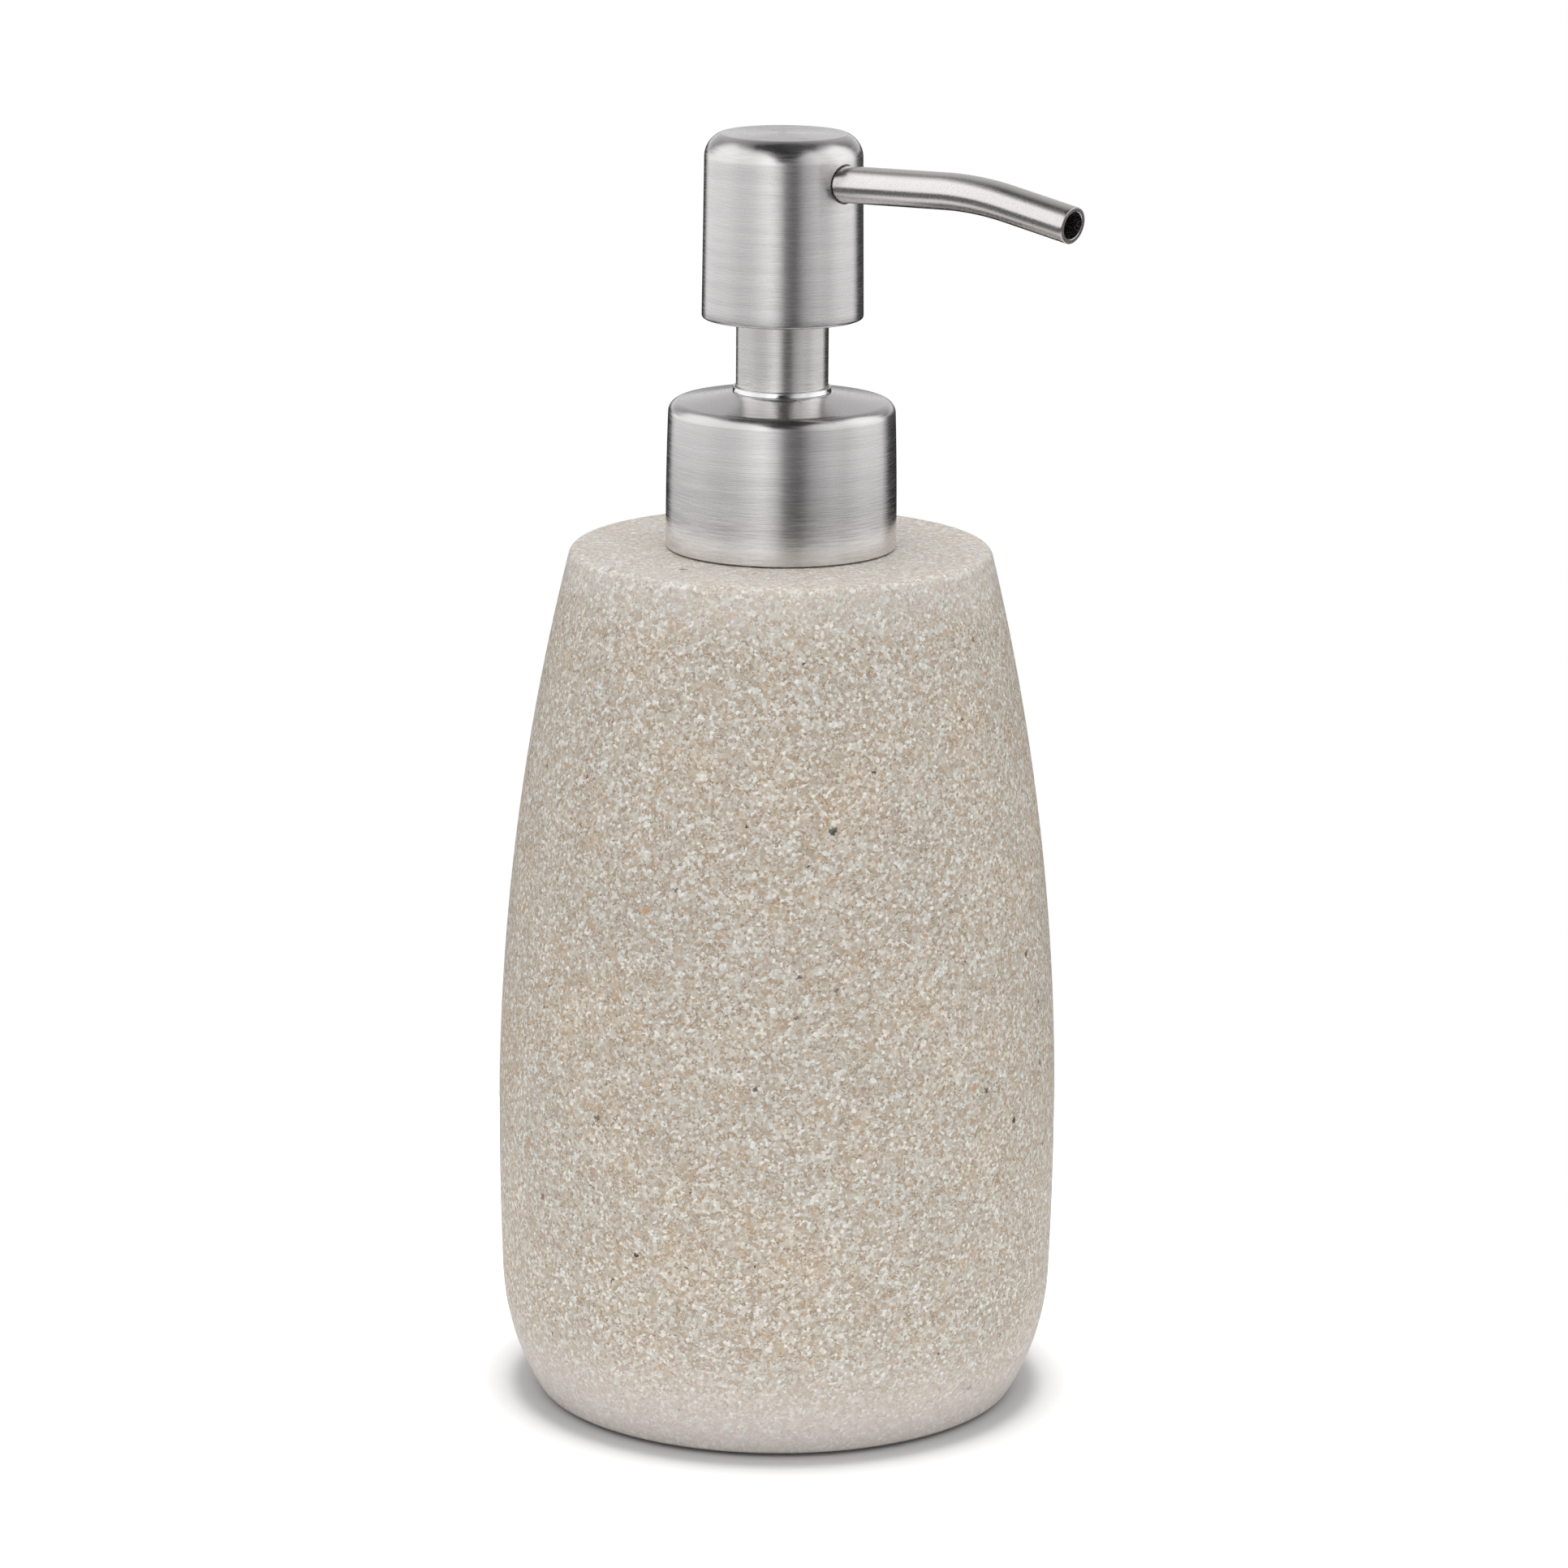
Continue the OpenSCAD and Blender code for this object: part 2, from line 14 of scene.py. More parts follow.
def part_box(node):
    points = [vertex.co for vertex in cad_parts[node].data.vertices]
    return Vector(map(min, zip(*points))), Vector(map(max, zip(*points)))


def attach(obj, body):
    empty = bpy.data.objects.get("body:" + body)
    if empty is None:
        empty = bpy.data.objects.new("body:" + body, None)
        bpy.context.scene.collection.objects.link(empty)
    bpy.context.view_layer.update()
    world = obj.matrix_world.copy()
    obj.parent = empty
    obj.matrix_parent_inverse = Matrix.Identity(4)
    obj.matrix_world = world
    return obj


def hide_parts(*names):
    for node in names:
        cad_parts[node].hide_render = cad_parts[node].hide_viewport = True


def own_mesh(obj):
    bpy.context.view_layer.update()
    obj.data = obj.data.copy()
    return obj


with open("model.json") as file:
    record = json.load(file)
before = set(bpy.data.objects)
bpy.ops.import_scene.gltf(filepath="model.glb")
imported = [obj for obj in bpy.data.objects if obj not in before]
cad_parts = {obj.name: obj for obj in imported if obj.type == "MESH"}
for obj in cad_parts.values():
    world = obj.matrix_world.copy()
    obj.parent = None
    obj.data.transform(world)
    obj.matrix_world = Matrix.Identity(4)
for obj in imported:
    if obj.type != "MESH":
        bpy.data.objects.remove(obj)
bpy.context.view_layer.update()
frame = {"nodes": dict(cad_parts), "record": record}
MM = 0.001

# ---------------------------------------------------------------- camera

CAMERA_AZIMUTH = math.radians(40)   # how far round from the spout's right-hand side the camera stands
CAMERA_DISTANCE = 0.769             # from the dispenser's axis, level with the table
CAMERA_HEIGHT = 0.2696
CAMERA_YAW = math.radians(0.048)
CAMERA_PITCH = math.radians(13.61)
CAMERA_ROLL = math.radians(0.432)
CAMERA_LENS = 136.0                 # millimetres, on a sensor as wide as small-format film
SENSOR_WIDTH = 36.0


def make_camera():
    """The camera stands on the spout's near side, looks slightly down, and is a little out of level."""
    data = bpy.data.cameras.new("camera")
    data.lens = CAMERA_LENS
    data.sensor_width = SENSOR_WIDTH
    data.clip_start = 0.01
    camera = bpy.data.objects.new("camera", data)
    bpy.context.scene.collection.objects.link(camera)
    sy, cy = math.sin(CAMERA_YAW), math.cos(CAMERA_YAW)
    sp, cp = math.sin(CAMERA_PITCH), math.cos(CAMERA_PITCH)
    forward = Vector((sy * cp, cy * cp, -sp))
    level = Vector((cy, -sy, 0))
    upright = level.cross(forward)
    sr, cr = math.sin(CAMERA_ROLL), math.cos(CAMERA_ROLL)
    right = level * cr + upright * sr
    up = upright * cr - level * sr
    turn = Matrix((right, up, -forward)).transposed().to_4x4()
    place = Matrix.Translation((0, -CAMERA_DISTANCE, CAMERA_HEIGHT)) @ turn
    camera.matrix_world = Matrix.Rotation(CAMERA_AZIMUTH, 4, "Z") @ place
    bpy.context.scene.camera = camera


make_camera()

# ---------------------------------------------------------------- node helpers


def new_node(tree, kind, settings=None, **inputs):
    """Adds a node. settings are its properties; inputs are values or sockets, by input name."""
    node = tree.nodes.new(kind)
    for name, value in (settings or {}).items():
        setattr(node, name, value)
    for name, value in inputs.items():
        connect(tree, node, name.replace("_", " "), value)
    return node


def connect(tree, node, key, value):
    """Links value to the input if it is a socket, or else sets it as the input's own value."""
    socket = node.inputs[key]
    if isinstance(value, bpy.types.NodeSocket):
        tree.links.new(value, socket)
    else:
        socket.default_value = value


def maths(tree, operation, *values):
    node = tree.nodes.new("ShaderNodeMath")
    node.operation = operation
    for i, value in enumerate(values):
        connect(tree, node, i, value)
    return node.outputs[0]


def span(tree, value, low, high, to_low=0.0, to_high=1.0):
    """Maps value from low..high to to_low..to_high, clamped and eased."""
    node = new_node(tree, "ShaderNodeMapRange", {"interpolation_type": "SMOOTHSTEP"})
    for i, v in enumerate((value, low, high, to_low, to_high)):
        connect(tree, node, i, v)
    return node.outputs[0]


def mix_colour(tree, factor, a, b, blend="MIX"):
    node = new_node(tree, "ShaderNodeMix", {"data_type": "RGBA", "blend_type": blend})
    connect(tree, node, 0, factor)
    connect(tree, node, 6, a)
    connect(tree, node, 7, b)
    return node.outputs[2]


def ramp(tree, value, stops):
    """A colour ramp. Each stop is (place, grey or colour)."""
    node = tree.nodes.new("ShaderNodeValToRGB")
    elements = node.color_ramp.elements
    while len(elements) < len(stops):
        elements.new(0.5)
    for element, (place, tone) in zip(elements, stops):
        element.position = place
        element.color = (*tone, 1) if isinstance(tone, tuple) else (tone, tone, tone, 1)
    connect(tree, node, 0, value)
    return node.outputs[0]


def displace(tree, vector, amount, scale):
    """Pushes a place about by a noise of the given scale, so that what is drawn there turns ragged."""
    noise = new_node(tree, "ShaderNodeTexNoise", Vector=vector, Scale=scale, Detail=1.0).outputs[1]
    moved = new_node(tree, "ShaderNodeVectorMath", {"operation": "MULTIPLY_ADD"})
    connect(tree, moved, 0, noise)
    connect(tree, moved, 1, (amount, amount, amount))
    connect(tree, moved, 2, vector)
    return moved.outputs[0]


def new_group(name, inputs, outputs):
    """A shader node group. inputs and outputs are (name, socket type, default) and (name, socket type)."""
    group = bpy.data.node_groups.new(name, "ShaderNodeTree")
    for label, kind, default in inputs:
        socket = group.interface.new_socket(label, in_out="INPUT", socket_type=kind)
        if default is not None:
            socket.default_value = default
    for label, kind in outputs:
        group.interface.new_socket(label, in_out="OUTPUT", socket_type=kind)
    return group, group.nodes.new("NodeGroupInput").outputs, group.nodes.new("NodeGroupOutput")


def use_group(tree, group, **values):
    node = tree.nodes.new("ShaderNodeGroup")
    node.node_tree = group
    for name, value in values.items():
        connect(tree, node, name.replace("_", " "), value)
    return node.outputs


FLOAT, VECTOR = "NodeSocketFloat", "NodeSocketVector"

# ---------------------------------------------------------------- shared effects


def make_brush_group():
    """Fine lines that run round the Z axis, on sides and on turned tops alike."""
    group, given, out = new_group(
        "brush_lines",
        [("Vector", VECTOR, None), ("Line Width", FLOAT, 0.00015), ("Reach", FLOAT, 3.0)],
        [("Streak", FLOAT), ("Drift", FLOAT)])
    part = new_node(group, "ShaderNodeSeparateXYZ", Vector=given["Vector"]).outputs
    flat = maths(group, "ADD", maths(group, "MULTIPLY", part[0], part[0]),
                 maths(group, "MULTIPLY", part[1], part[1]))
    radius = maths(group, "MAXIMUM", maths(group, "SQRT", flat), 0.2 * MM)
    run = maths(group, "DIVIDE", maths(group, "ADD", part[2], radius), given["Line Width"])
    reach = maths(group, "DIVIDE", given["Reach"], radius)
    place = new_node(group, "ShaderNodeCombineXYZ",
                     X=maths(group, "MULTIPLY", part[0], reach),
                     Y=maths(group, "MULTIPLY", part[1], reach), Z=run).outputs[0]
    fine = new_node(group, "ShaderNodeTexNoise", Vector=place, Scale=1.0, Detail=2.0,
                    Roughness=0.6).outputs[0]
    wide = new_node(group, "ShaderNodeTexNoise", Vector=place, Scale=0.17, Detail=1.0).outputs[0]
    connect(group, out, "Streak", fine)
    connect(group, out, "Drift", wide)
    return group


def make_speck_group():
    """Scattered specks: one in each cell that draws a low number, round and ragged."""
    group, given, out = new_group(
        "specks",
        [("Vector", VECTOR, None), ("Cell", FLOAT, 0.002), ("Share", FLOAT, 0.1),
         ("Size", FLOAT, 0.25)],
        [("Mask", FLOAT), ("Tone", FLOAT)])
    place = displace(group, given["Vector"], amount=0.9 * MM, scale=2600.0)
    scale = maths(group, "DIVIDE", 1.0, given["Cell"])
    cells = new_node(group, "ShaderNodeTexVoronoi", Vector=place, Scale=scale).outputs
    draw = new_node(group, "ShaderNodeSeparateColor", Color=cells["Color"]).outputs
    chosen = maths(group, "LESS_THAN", draw[0], given["Share"])
    size = maths(group, "MULTIPLY", given["Size"], maths(group, "ADD", draw[1], 0.45))
    inside = span(group, cells["Distance"], size, maths(group, "MULTIPLY", size, 0.7))
    connect(group, out, "Mask", maths(group, "MULTIPLY", chosen, inside))
    connect(group, out, "Tone", draw[2])
    return group


def make_smudge_group():
    """Soft uneven patches left by handling and cleaning."""
    group, given, out = new_group(
        "handling", [("Vector", VECTOR, None), ("Patch", FLOAT, 0.02)], [("Haze", FLOAT)])
    scale = maths(group, "DIVIDE", 1.0, given["Patch"])
    haze = new_node(group, "ShaderNodeTexNoise", Vector=given["Vector"], Scale=scale, Detail=3.0,
                    Distortion=0.6).outputs[0]
    connect(group, out, "Haze", span(group, haze, 0.35, 0.7))
    return group


def make_mould_group():
    """Moulded plastic: a faint spark-eroded skin and slow shade changes."""
    group, given, out = new_group(
        "moulded_skin", [("Vector", VECTOR, None), ("Grain", FLOAT, 0.0002)],
        [("Shade", FLOAT), ("Height", FLOAT)])
    scale = maths(group, "DIVIDE", 1.0, given["Grain"])
    skin = new_node(group, "ShaderNodeTexNoise", Vector=given["Vector"], Scale=scale,
                    Detail=2.0).outputs[0]
    flow = new_node(group, "ShaderNodeTexNoise", Vector=given["Vector"], Scale=140.0, Detail=2.0,
                    Distortion=1.5).outputs[0]
    connect(group, out, "Shade", flow)
    connect(group, out, "Height", skin)
    return group


BRUSH = make_brush_group()
SPECKS = make_speck_group()
SMUDGE = make_smudge_group()
MOULD = make_mould_group()

# ---------------------------------------------------------------- materials


def new_material(name, **settings):
    """A Principled material. settings are constant values, set on the shader's own sockets."""
    material = bpy.data.materials.new(name)
    material.use_nodes = True
    tree = material.node_tree
    shader = tree.nodes["Principled BSDF"]
    for key, value in settings.items():
        connect(tree, shader, key.replace("_", " "), value)
    where = new_node(tree, "ShaderNodeTexCoord").outputs["Object"]
    return material, tree, shader, where


def set_bump(tree, shader, height, distance, strength=1.0):
    bump = new_node(tree, "ShaderNodeBump", Height=height, Distance=distance, Strength=strength)
    connect(tree, shader, "Normal", bump.outputs[0])


CRYSTALS = 2200.0           # grains in a metre
SAND = 4000.0
CLOUDS = 520.0              # patches of pigment in a metre
BATCHES = 70.0              # patches of greyer or warmer sand in a metre
TAN, RUST = (0.58, 0.37, 0.21, 1), (0.26, 0.10, 0.05, 1)
DARK, BLACK = (0.05, 0.038, 0.03, 1), (0.01, 0.011, 0.012, 1)
# Cell that holds one speck at most, share of cells that do, speck's size in its cell, colour
STONE_SPECKS = [(3.4 * MM, 0.12, 0.13, TAN), (5.0 * MM, 0.14, 0.08, RUST),
                (3.6 * MM, 0.30, 0.085, DARK), (9.0 * MM, 0.5, 0.06, BLACK)]
WORN_EDGE = 9 * MM          # how far down the rubbed skin of the top reaches
# How far up the heel's paler, pinker skin reaches, which also carries painted bounce light from the table
HEEL_SKIN_AND_BOUNCE_REACH = 18 * MM


def stone_resin():
    """Crushed stone in clear resin: packed pale grains, tan and rust ones among them, a few black."""
    material, tree, shader, where = new_material("cast_stone_resin", Specular_IOR_Level=0.22)
    place = displace(tree, where, amount=0.22 * MM, scale=2400.0)
    coarse = new_node(tree, "ShaderNodeTexVoronoi", Vector=place, Scale=CRYSTALS).outputs
    seams = new_node(tree, "ShaderNodeTexVoronoi", {"feature": "DISTANCE_TO_EDGE"}, Vector=place,
                     Scale=CRYSTALS).outputs
    fine = new_node(tree, "ShaderNodeTexVoronoi", Vector=place, Scale=SAND).outputs
    tone = new_node(tree, "ShaderNodeSeparateColor", Color=coarse["Color"]).outputs
    small = new_node(tree, "ShaderNodeSeparateColor", Color=fine["Color"]).outputs
    crystal = ramp(tree, tone[0], [
        (0.0, (0.52, 0.35, 0.22)), (0.02, (0.61, 0.46, 0.32)), (0.021, (0.49, 0.41, 0.325)),
        (0.2, (0.57, 0.515, 0.435)), (0.5, (0.68, 0.655, 0.59)), (0.8, (0.80, 0.795, 0.745)),
        (1.0, (0.95, 0.955, 0.92))])
    sand = ramp(tree, small[1], [
        (0.0, (0.33, 0.24, 0.165)), (0.4, (0.49, 0.395, 0.30)), (0.7, (0.63, 0.57, 0.49)),
        (1.0, (0.83, 0.81, 0.765))])
    # Crystals that lie at the skin hide the finer sand between them
    cover = span(tree, tone[2], 0.28, 0.5, 0.10, 0.94)
    body = mix_colour(tree, cover, sand, crystal)
    seam = span(tree, seams["Distance"], 0.0, 0.12, 0.3, 0.0)
    body = mix_colour(tree, seam, body, (0.42, 0.31, 0.21, 1))
    # Tan pigment that gathers in soft clouds between the crystals
    cloud = new_node(tree, "ShaderNodeTexNoise", Vector=place, Scale=CLOUDS, Detail=4.0,
                     Roughness=0.75).outputs[0]
    body = mix_colour(tree, span(tree, cloud, 0.5, 0.68, 0.0, 0.5), body, (0.60, 0.45, 0.31, 1))
    # Slow drift between greyer and warmer batches of sand
    drift = new_node(tree, "ShaderNodeTexNoise", Vector=where, Scale=BATCHES, Detail=4.0,
                     Roughness=0.7).outputs[0]
    body = mix_colour(tree, 1.0, body,
                      ramp(tree, drift, [(0.32, (0.96, 0.965, 0.975)), (0.5, (1.0, 1.0, 1.0)),
                                         (0.68, (1.04, 1.0, 0.955))]), "MULTIPLY")
    for cell, share, size, colour in STONE_SPECKS:
        specks = use_group(tree, SPECKS, Vector=where, Cell=cell, Share=share, Size=size)
        strength = maths(tree, "MULTIPLY", specks["Mask"],
                         maths(tree, "MULTIPLY_ADD", specks["Tone"], 0.35, 0.6))
        body = mix_colour(tree, strength, body, colour)
    # The rubbed top and its edge show a paler, greyer skin of resin. The heel is paler and pinker: partly
    # its own smoother skin, partly painted light that stands in for the table's bounce.
    height_up = new_node(tree, "ShaderNodeSeparateXYZ", Vector=where).outputs[2]
    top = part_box("bottle_body")[1].z
    worn_top = span(tree, height_up, top - WORN_EDGE, top - 1 * MM, 0.0, 0.28)
    # Painted bounce light: the heel's paleness partly stands in for light the table throws up onto it
    pale_heel_skin_and_painted_bounce = span(tree, height_up, HEEL_SKIN_AND_BOUNCE_REACH, 1 * MM, 0.0, 0.58)
    body = mix_colour(tree, worn_top, body, (0.88, 0.87, 0.85, 1))
    body = mix_colour(tree, pale_heel_skin_and_painted_bounce, body, (0.98, 0.91, 0.88, 1))
    connect(tree, shader, "Base Color", body)
    connect(tree, shader, "Roughness", span(tree, tone[1], 0.0, 1.0, 0.40, 0.62))
    height = maths(tree, "ADD", maths(tree, "MULTIPLY", tone[2], 0.5),
                   maths(tree, "MULTIPLY", span(tree, seams["Distance"], 0.0, 0.2), 0.5))
    set_bump(tree, shader, height, 0.04 * MM, 0.8)
    return material


BRUSHED_ROUGHNESS = 0.235


def brushed_steel(name, colour, line_width, reach, relief):
    """Stainless steel brushed round its axis. The lines run further round where reach is smaller."""
    material, tree, shader, where = new_material(
        name, Metallic=1.0, Anisotropic=0.5, Anisotropic_Rotation=0.25)
    lines = use_group(tree, BRUSH, Vector=where, Line_Width=line_width, Reach=reach)
    haze = use_group(tree, SMUDGE, Vector=where, Patch=12 * MM)["Haze"]
    # Flat tops are finished finer than the sides
    facing = new_node(tree, "ShaderNodeTexCoord").outputs["Normal"]
    upward = new_node(tree, "ShaderNodeSeparateXYZ", Vector=facing).outputs[2]
    side = span(tree, upward, 0.98, 0.6, 0.25, 1.0)
    shade = maths(tree, "ADD", maths(tree, "MULTIPLY", lines["Streak"], 0.7),
                  maths(tree, "MULTIPLY", lines["Drift"], 0.3))
    shade = maths(tree, "MULTIPLY_ADD", maths(tree, "SUBTRACT", shade, 0.5), side, 0.5)
    low = tuple(0.86 * c for c in colour)
    high = tuple(min(1.0, 1.12 * c) for c in colour)
    connect(tree, shader, "Base Color", ramp(tree, shade, [(0.3, low), (0.7, high)]))
    rough = span(tree, lines["Streak"], 0.3, 0.7, BRUSHED_ROUGHNESS - 0.05, BRUSHED_ROUGHNESS + 0.06)
    connect(tree, shader, "Roughness", maths(tree, "MULTIPLY_ADD", haze, 0.03, rough))
    tangent = new_node(tree, "ShaderNodeTangent", {"direction_type": "RADIAL", "axis": "Z"})
    connect(tree, shader, "Tangent", tangent.outputs[0])
    set_bump(tree, shader, maths(tree, "MULTIPLY", lines["Streak"], side), relief, 0.5)
    return material


def satin_tube_steel():
    """Drawn tube, rubbed to a satin finish along a curve, so its fine marks have no single direction."""
    material, tree, shader, where = new_material("satin_tube_steel", Metallic=1.0)
    marks = new_node(tree, "ShaderNodeTexNoise", Vector=where, Scale=4200.0, Detail=3.0,
                     Roughness=0.7).outputs[0]
    haze = use_group(tree, SMUDGE, Vector=where, Patch=6 * MM)["Haze"]
    connect(tree, shader, "Base Color",
            ramp(tree, marks, [(0.3, (0.70, 0.67, 0.67)), (0.7, (0.90, 0.87, 0.865))]))
    rough = span(tree, marks, 0.3, 0.7, 0.16, 0.27)
    connect(tree, shader, "Roughness", maths(tree, "MULTIPLY_ADD", haze, 0.03, rough))
    set_bump(tree, shader, marks, 0.004 * MM, 0.6)
    return material


def polished_steel():
    """Bright turned ring with the faintest tool marks."""
    material, tree, shader, where = new_material("polished_steel", Metallic=1.0)
    lines = use_group(tree, BRUSH, Vector=where, Line_Width=0.08 * MM, Reach=6.0)
    connect(tree, shader, "Base Color",
            ramp(tree, lines["Streak"], [(0.3, (0.80, 0.80, 0.81)), (0.7, (0.90, 0.90, 0.91))]))
    connect(tree, shader, "Roughness", span(tree, lines["Streak"], 0.3, 0.7, 0.07, 0.13))
    set_bump(tree, shader, lines["Streak"], 0.002 * MM, 0.4)
    return material


def spring_wire():
    """Drawn spring wire with a dull skin and darker scuffs in uneven patches."""
    material, tree, shader, where = new_material("spring_wire", Metallic=1.0)
    haze = use_group(tree, SMUDGE, Vector=where, Patch=2.5 * MM)["Haze"]
    connect(tree, shader, "Base Color",
            ramp(tree, haze, [(0.0, (0.42, 0.42, 0.43)), (1.0, (0.62, 0.62, 0.63))]))
    connect(tree, shader, "Roughness", span(tree, haze, 0.0, 1.0, 0.28, 0.42))
    drawn = use_group(tree, MOULD, Vector=where, Grain=0.12 * MM)
    set_bump(tree, shader, drawn["Height"], 0.008 * MM, 0.6)
    return material


def moulded_plastic(name, low, high, roughness, grain, relief, subsurface=0.0):
    """Injection-moulded plastic: slow shade changes, a fine skin, slight polish where handled."""
    material, tree, shader, where = new_material(
        name, Subsurface_Weight=subsurface, Subsurface_Scale=2 * MM, Specular_IOR_Level=0.45)
    skin = use_group(tree, MOULD, Vector=where, Grain=grain)
    haze = use_group(tree, SMUDGE, Vector=where, Patch=10 * MM)["Haze"]
    connect(tree, shader, "Base Color", ramp(tree, skin["Shade"], [(0.35, low), (0.65, high)]))
    connect(tree, shader, "Roughness",
            span(tree, haze, 0.0, 1.0, roughness - 0.06, roughness + 0.06))
    set_bump(tree, shader, skin["Height"], relief, 0.6)
    return material


def foam(name, low, high, cell, relief):
    """Closed-cell foam: small round cells cut open at the skin."""
    material, tree, shader, where = new_material(name, Specular_IOR_Level=0.25)
    cells = new_node(tree, "ShaderNodeTexVoronoi", Vector=where, Scale=1.0 / cell).outputs
    haze = use_group(tree, SMUDGE, Vector=where, Patch=8 * MM)["Haze"]
    shade = maths(tree, "ADD", maths(tree, "MULTIPLY", cells["Distance"], 0.7),
                  maths(tree, "MULTIPLY", haze, 0.3))
    connect(tree, shader, "Base Color", ramp(tree, shade, [(0.1, low), (0.7, high)]))
    connect(tree, shader, "Roughness", span(tree, haze, 0.0, 1.0, 0.75, 0.9))
    set_bump(tree, shader, cells["Distance"], relief, 0.8)
    return material


def clear_glass():
    """Glass valve ball with a faint frosted bloom."""
    material, tree, shader, where = new_material(
        "valve_ball_glass", IOR=1.5, Transmission_Weight=0.85)
    haze = use_group(tree, SMUDGE, Vector=where, Patch=1.5 * MM)["Haze"]
    connect(tree, shader, "Base Color",
            ramp(tree, haze, [(0.0, (0.78, 0.86, 0.87)), (1.0, (0.88, 0.93, 0.93))]))
    connect(tree, shader, "Roughness", span(tree, haze, 0.0, 1.0, 0.02, 0.12))
    return material


SHELL_STEEL, TUBE_STEEL = (0.75, 0.73, 0.73), (0.78, 0.76, 0.755)
MATERIALS = {
    "stone_resin": stone_resin(),
    "soft_pad": foam("pad_foam", (0.05, 0.045, 0.04), (0.11, 0.10, 0.09), 0.3 * MM, 0.08 * MM),
    "neck_plastic": moulded_plastic("neck_plastic", (0.68, 0.68, 0.64), (0.76, 0.76, 0.73),
                                    0.45, 0.3 * MM, 0.01 * MM),
    "gasket_foam": foam("gasket_foam", (0.74, 0.76, 0.76), (0.86, 0.88, 0.88), 0.2 * MM, 0.04 * MM),
    "pump_plastic": moulded_plastic("pump_plastic", (0.72, 0.75, 0.76), (0.84, 0.86, 0.86),
                                    0.35, 0.4 * MM, 0.006 * MM, 0.15),
    "tube_plastic": moulded_plastic("tube_plastic", (0.76, 0.80, 0.80), (0.86, 0.89, 0.89),
                                    0.28, 0.6 * MM, 0.004 * MM, 0.2),
    "ball_glass": clear_glass(),
    "spring_steel": spring_wire(),
    "cap_plastic": moulded_plastic("cap_plastic", (0.62, 0.62, 0.58), (0.72, 0.72, 0.68),
                                   0.5, 0.25 * MM, 0.012 * MM),
    "brushed_shell": brushed_steel("brushed_shell_steel", SHELL_STEEL, 0.16 * MM, 3.0, 0.012 * MM),
    "polished_ring": polished_steel(),
    "brushed_tube": satin_tube_steel(),
    "seal_plastic": moulded_plastic("seal_plastic", (0.80, 0.80, 0.76), (0.88, 0.88, 0.85),
                                    0.3, 0.5 * MM, 0.004 * MM, 0.1),
}
# The sleeve shares the spout's slot, and is brushed round its axis where the bent spout is satin
SLEEVE_STEEL = brushed_steel("brushed_sleeve_steel", TUBE_STEEL, 0.14 * MM, 2.0, 0.01 * MM)

# ---------------------------------------------------------------- mesh helpers

SMOOTH_BELOW = math.radians(14)
ROUND_WIRE = math.radians(40)
ON_AXIS = 0.0001 * MM
BOTTLE_SIDES, SHELL_SIDES, RING_SIDES, SPOUT_SIDES, WIRE_SIDES = 288, 256, 192, 72, 14


def arc(centre, radius, start, end, steps):
    """Points on an arc in the (radius, height) half plane; angles in degrees, 0 pointing outwards."""
    points = []
    for i in range(steps + 1):
        a = math.radians(start + (end - start) * i / steps)
        points.append((centre[0] + radius * math.cos(a), centre[1] + radius * math.sin(a)))
    return points


def finish_mesh(name, mesh_data, slot, body, replaced, material=None, smooth_below=SMOOTH_BELOW):
    """Makes a piece that rides on a body and stands in for a CAD node. Edges stay sharp past an angle."""
    mesh = bpy.data.meshes.new(name)
    mesh_data.to_mesh(mesh)
    mesh_data.free()
    mesh.polygons.foreach_set("use_smooth", [True] * len(mesh.polygons))
    mesh.set_sharp_from_angle(angle=smooth_below)
    piece = bpy.data.objects.new(name, mesh)
    bpy.context.scene.collection.objects.link(piece)
    mesh.materials.append(material or MATERIALS[slot])
    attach(piece, body)
    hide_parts(replaced)
    return piece


def skin_rings(mesh, rings, sides, closed):
    """Joins neighbouring rings of points with faces, and the last to the first if closed.

    A ring of one point is the middle of a flat disc."""
    following = rings[1:] + (rings[:1] if closed else [])
    for a, b in zip(rings, following):
        for k in range(sides):
            j = (k + 1) % sides
            corners = [a[k % len(a)], a[j % len(a)], b[j % len(b)], b[k % len(b)]]
            face = list(dict.fromkeys(corners))
            if len(face) > 2:
                mesh.faces.new(face)


def lathe(outline, segments):
    """Turns a closed outline of (radius, height) points round Z."""
    mesh = bmesh.new()
    turns = [2 * math.pi * k / segments for k in range(segments)]
    rings = []
    for r, z in outline:
        if r < ON_AXIS:
            rings.append([mesh.verts.new((0, 0, z))])
        else:
            rings.append([mesh.verts.new((r * math.cos(a), r * math.sin(a), z)) for a in turns])
    skin_rings(mesh, rings, segments, closed=True)
    bmesh.ops.recalc_face_normals(mesh, faces=mesh.faces)
    return mesh


def sweep(stations, sides, closed):
    """A round skin along stations of (point, radius, two cross directions).

    closed joins the last ring to the first, as round a tube with a bore; or else both ends are capped."""
    mesh = bmesh.new()
    turns = [2 * math.pi * k / sides for k in range(sides)]
    rings = [[mesh.verts.new(point + u * radius * math.cos(a) + v * radius * math.sin(a)) for a in turns]
             for point, radius, (u, v) in stations]
    skin_rings(mesh, rings, sides, closed)
    if not closed:
        mesh.faces.new(rings[0])
        mesh.faces.new(list(reversed(rings[-1])))
    bmesh.ops.recalc_face_normals(mesh, faces=mesh.faces)
    return mesh


# ---------------------------------------------------------------- bottle

SIDE_RADIUS = 322 * MM
BELLY_RADIUS = 540 * MM
BELLY_TURN = 2.2
TUCK_RADIUS = 33.5 * MM
WIDEST_Z = 37.4 * MM
HEEL_ROUND = 1.2 * MM
EDGE_ROUND = 1.4 * MM
WALL = 5 * MM
TOP_WALL = 8 * MM           # round the mouth
CAVITY_Z = 8 * MM           # the cavity's floor above the table
MOUTH_R = 12.6 * MM
MOUTH_EASE = 0.3 * MM
PAD_GAP = 0.3 * MM


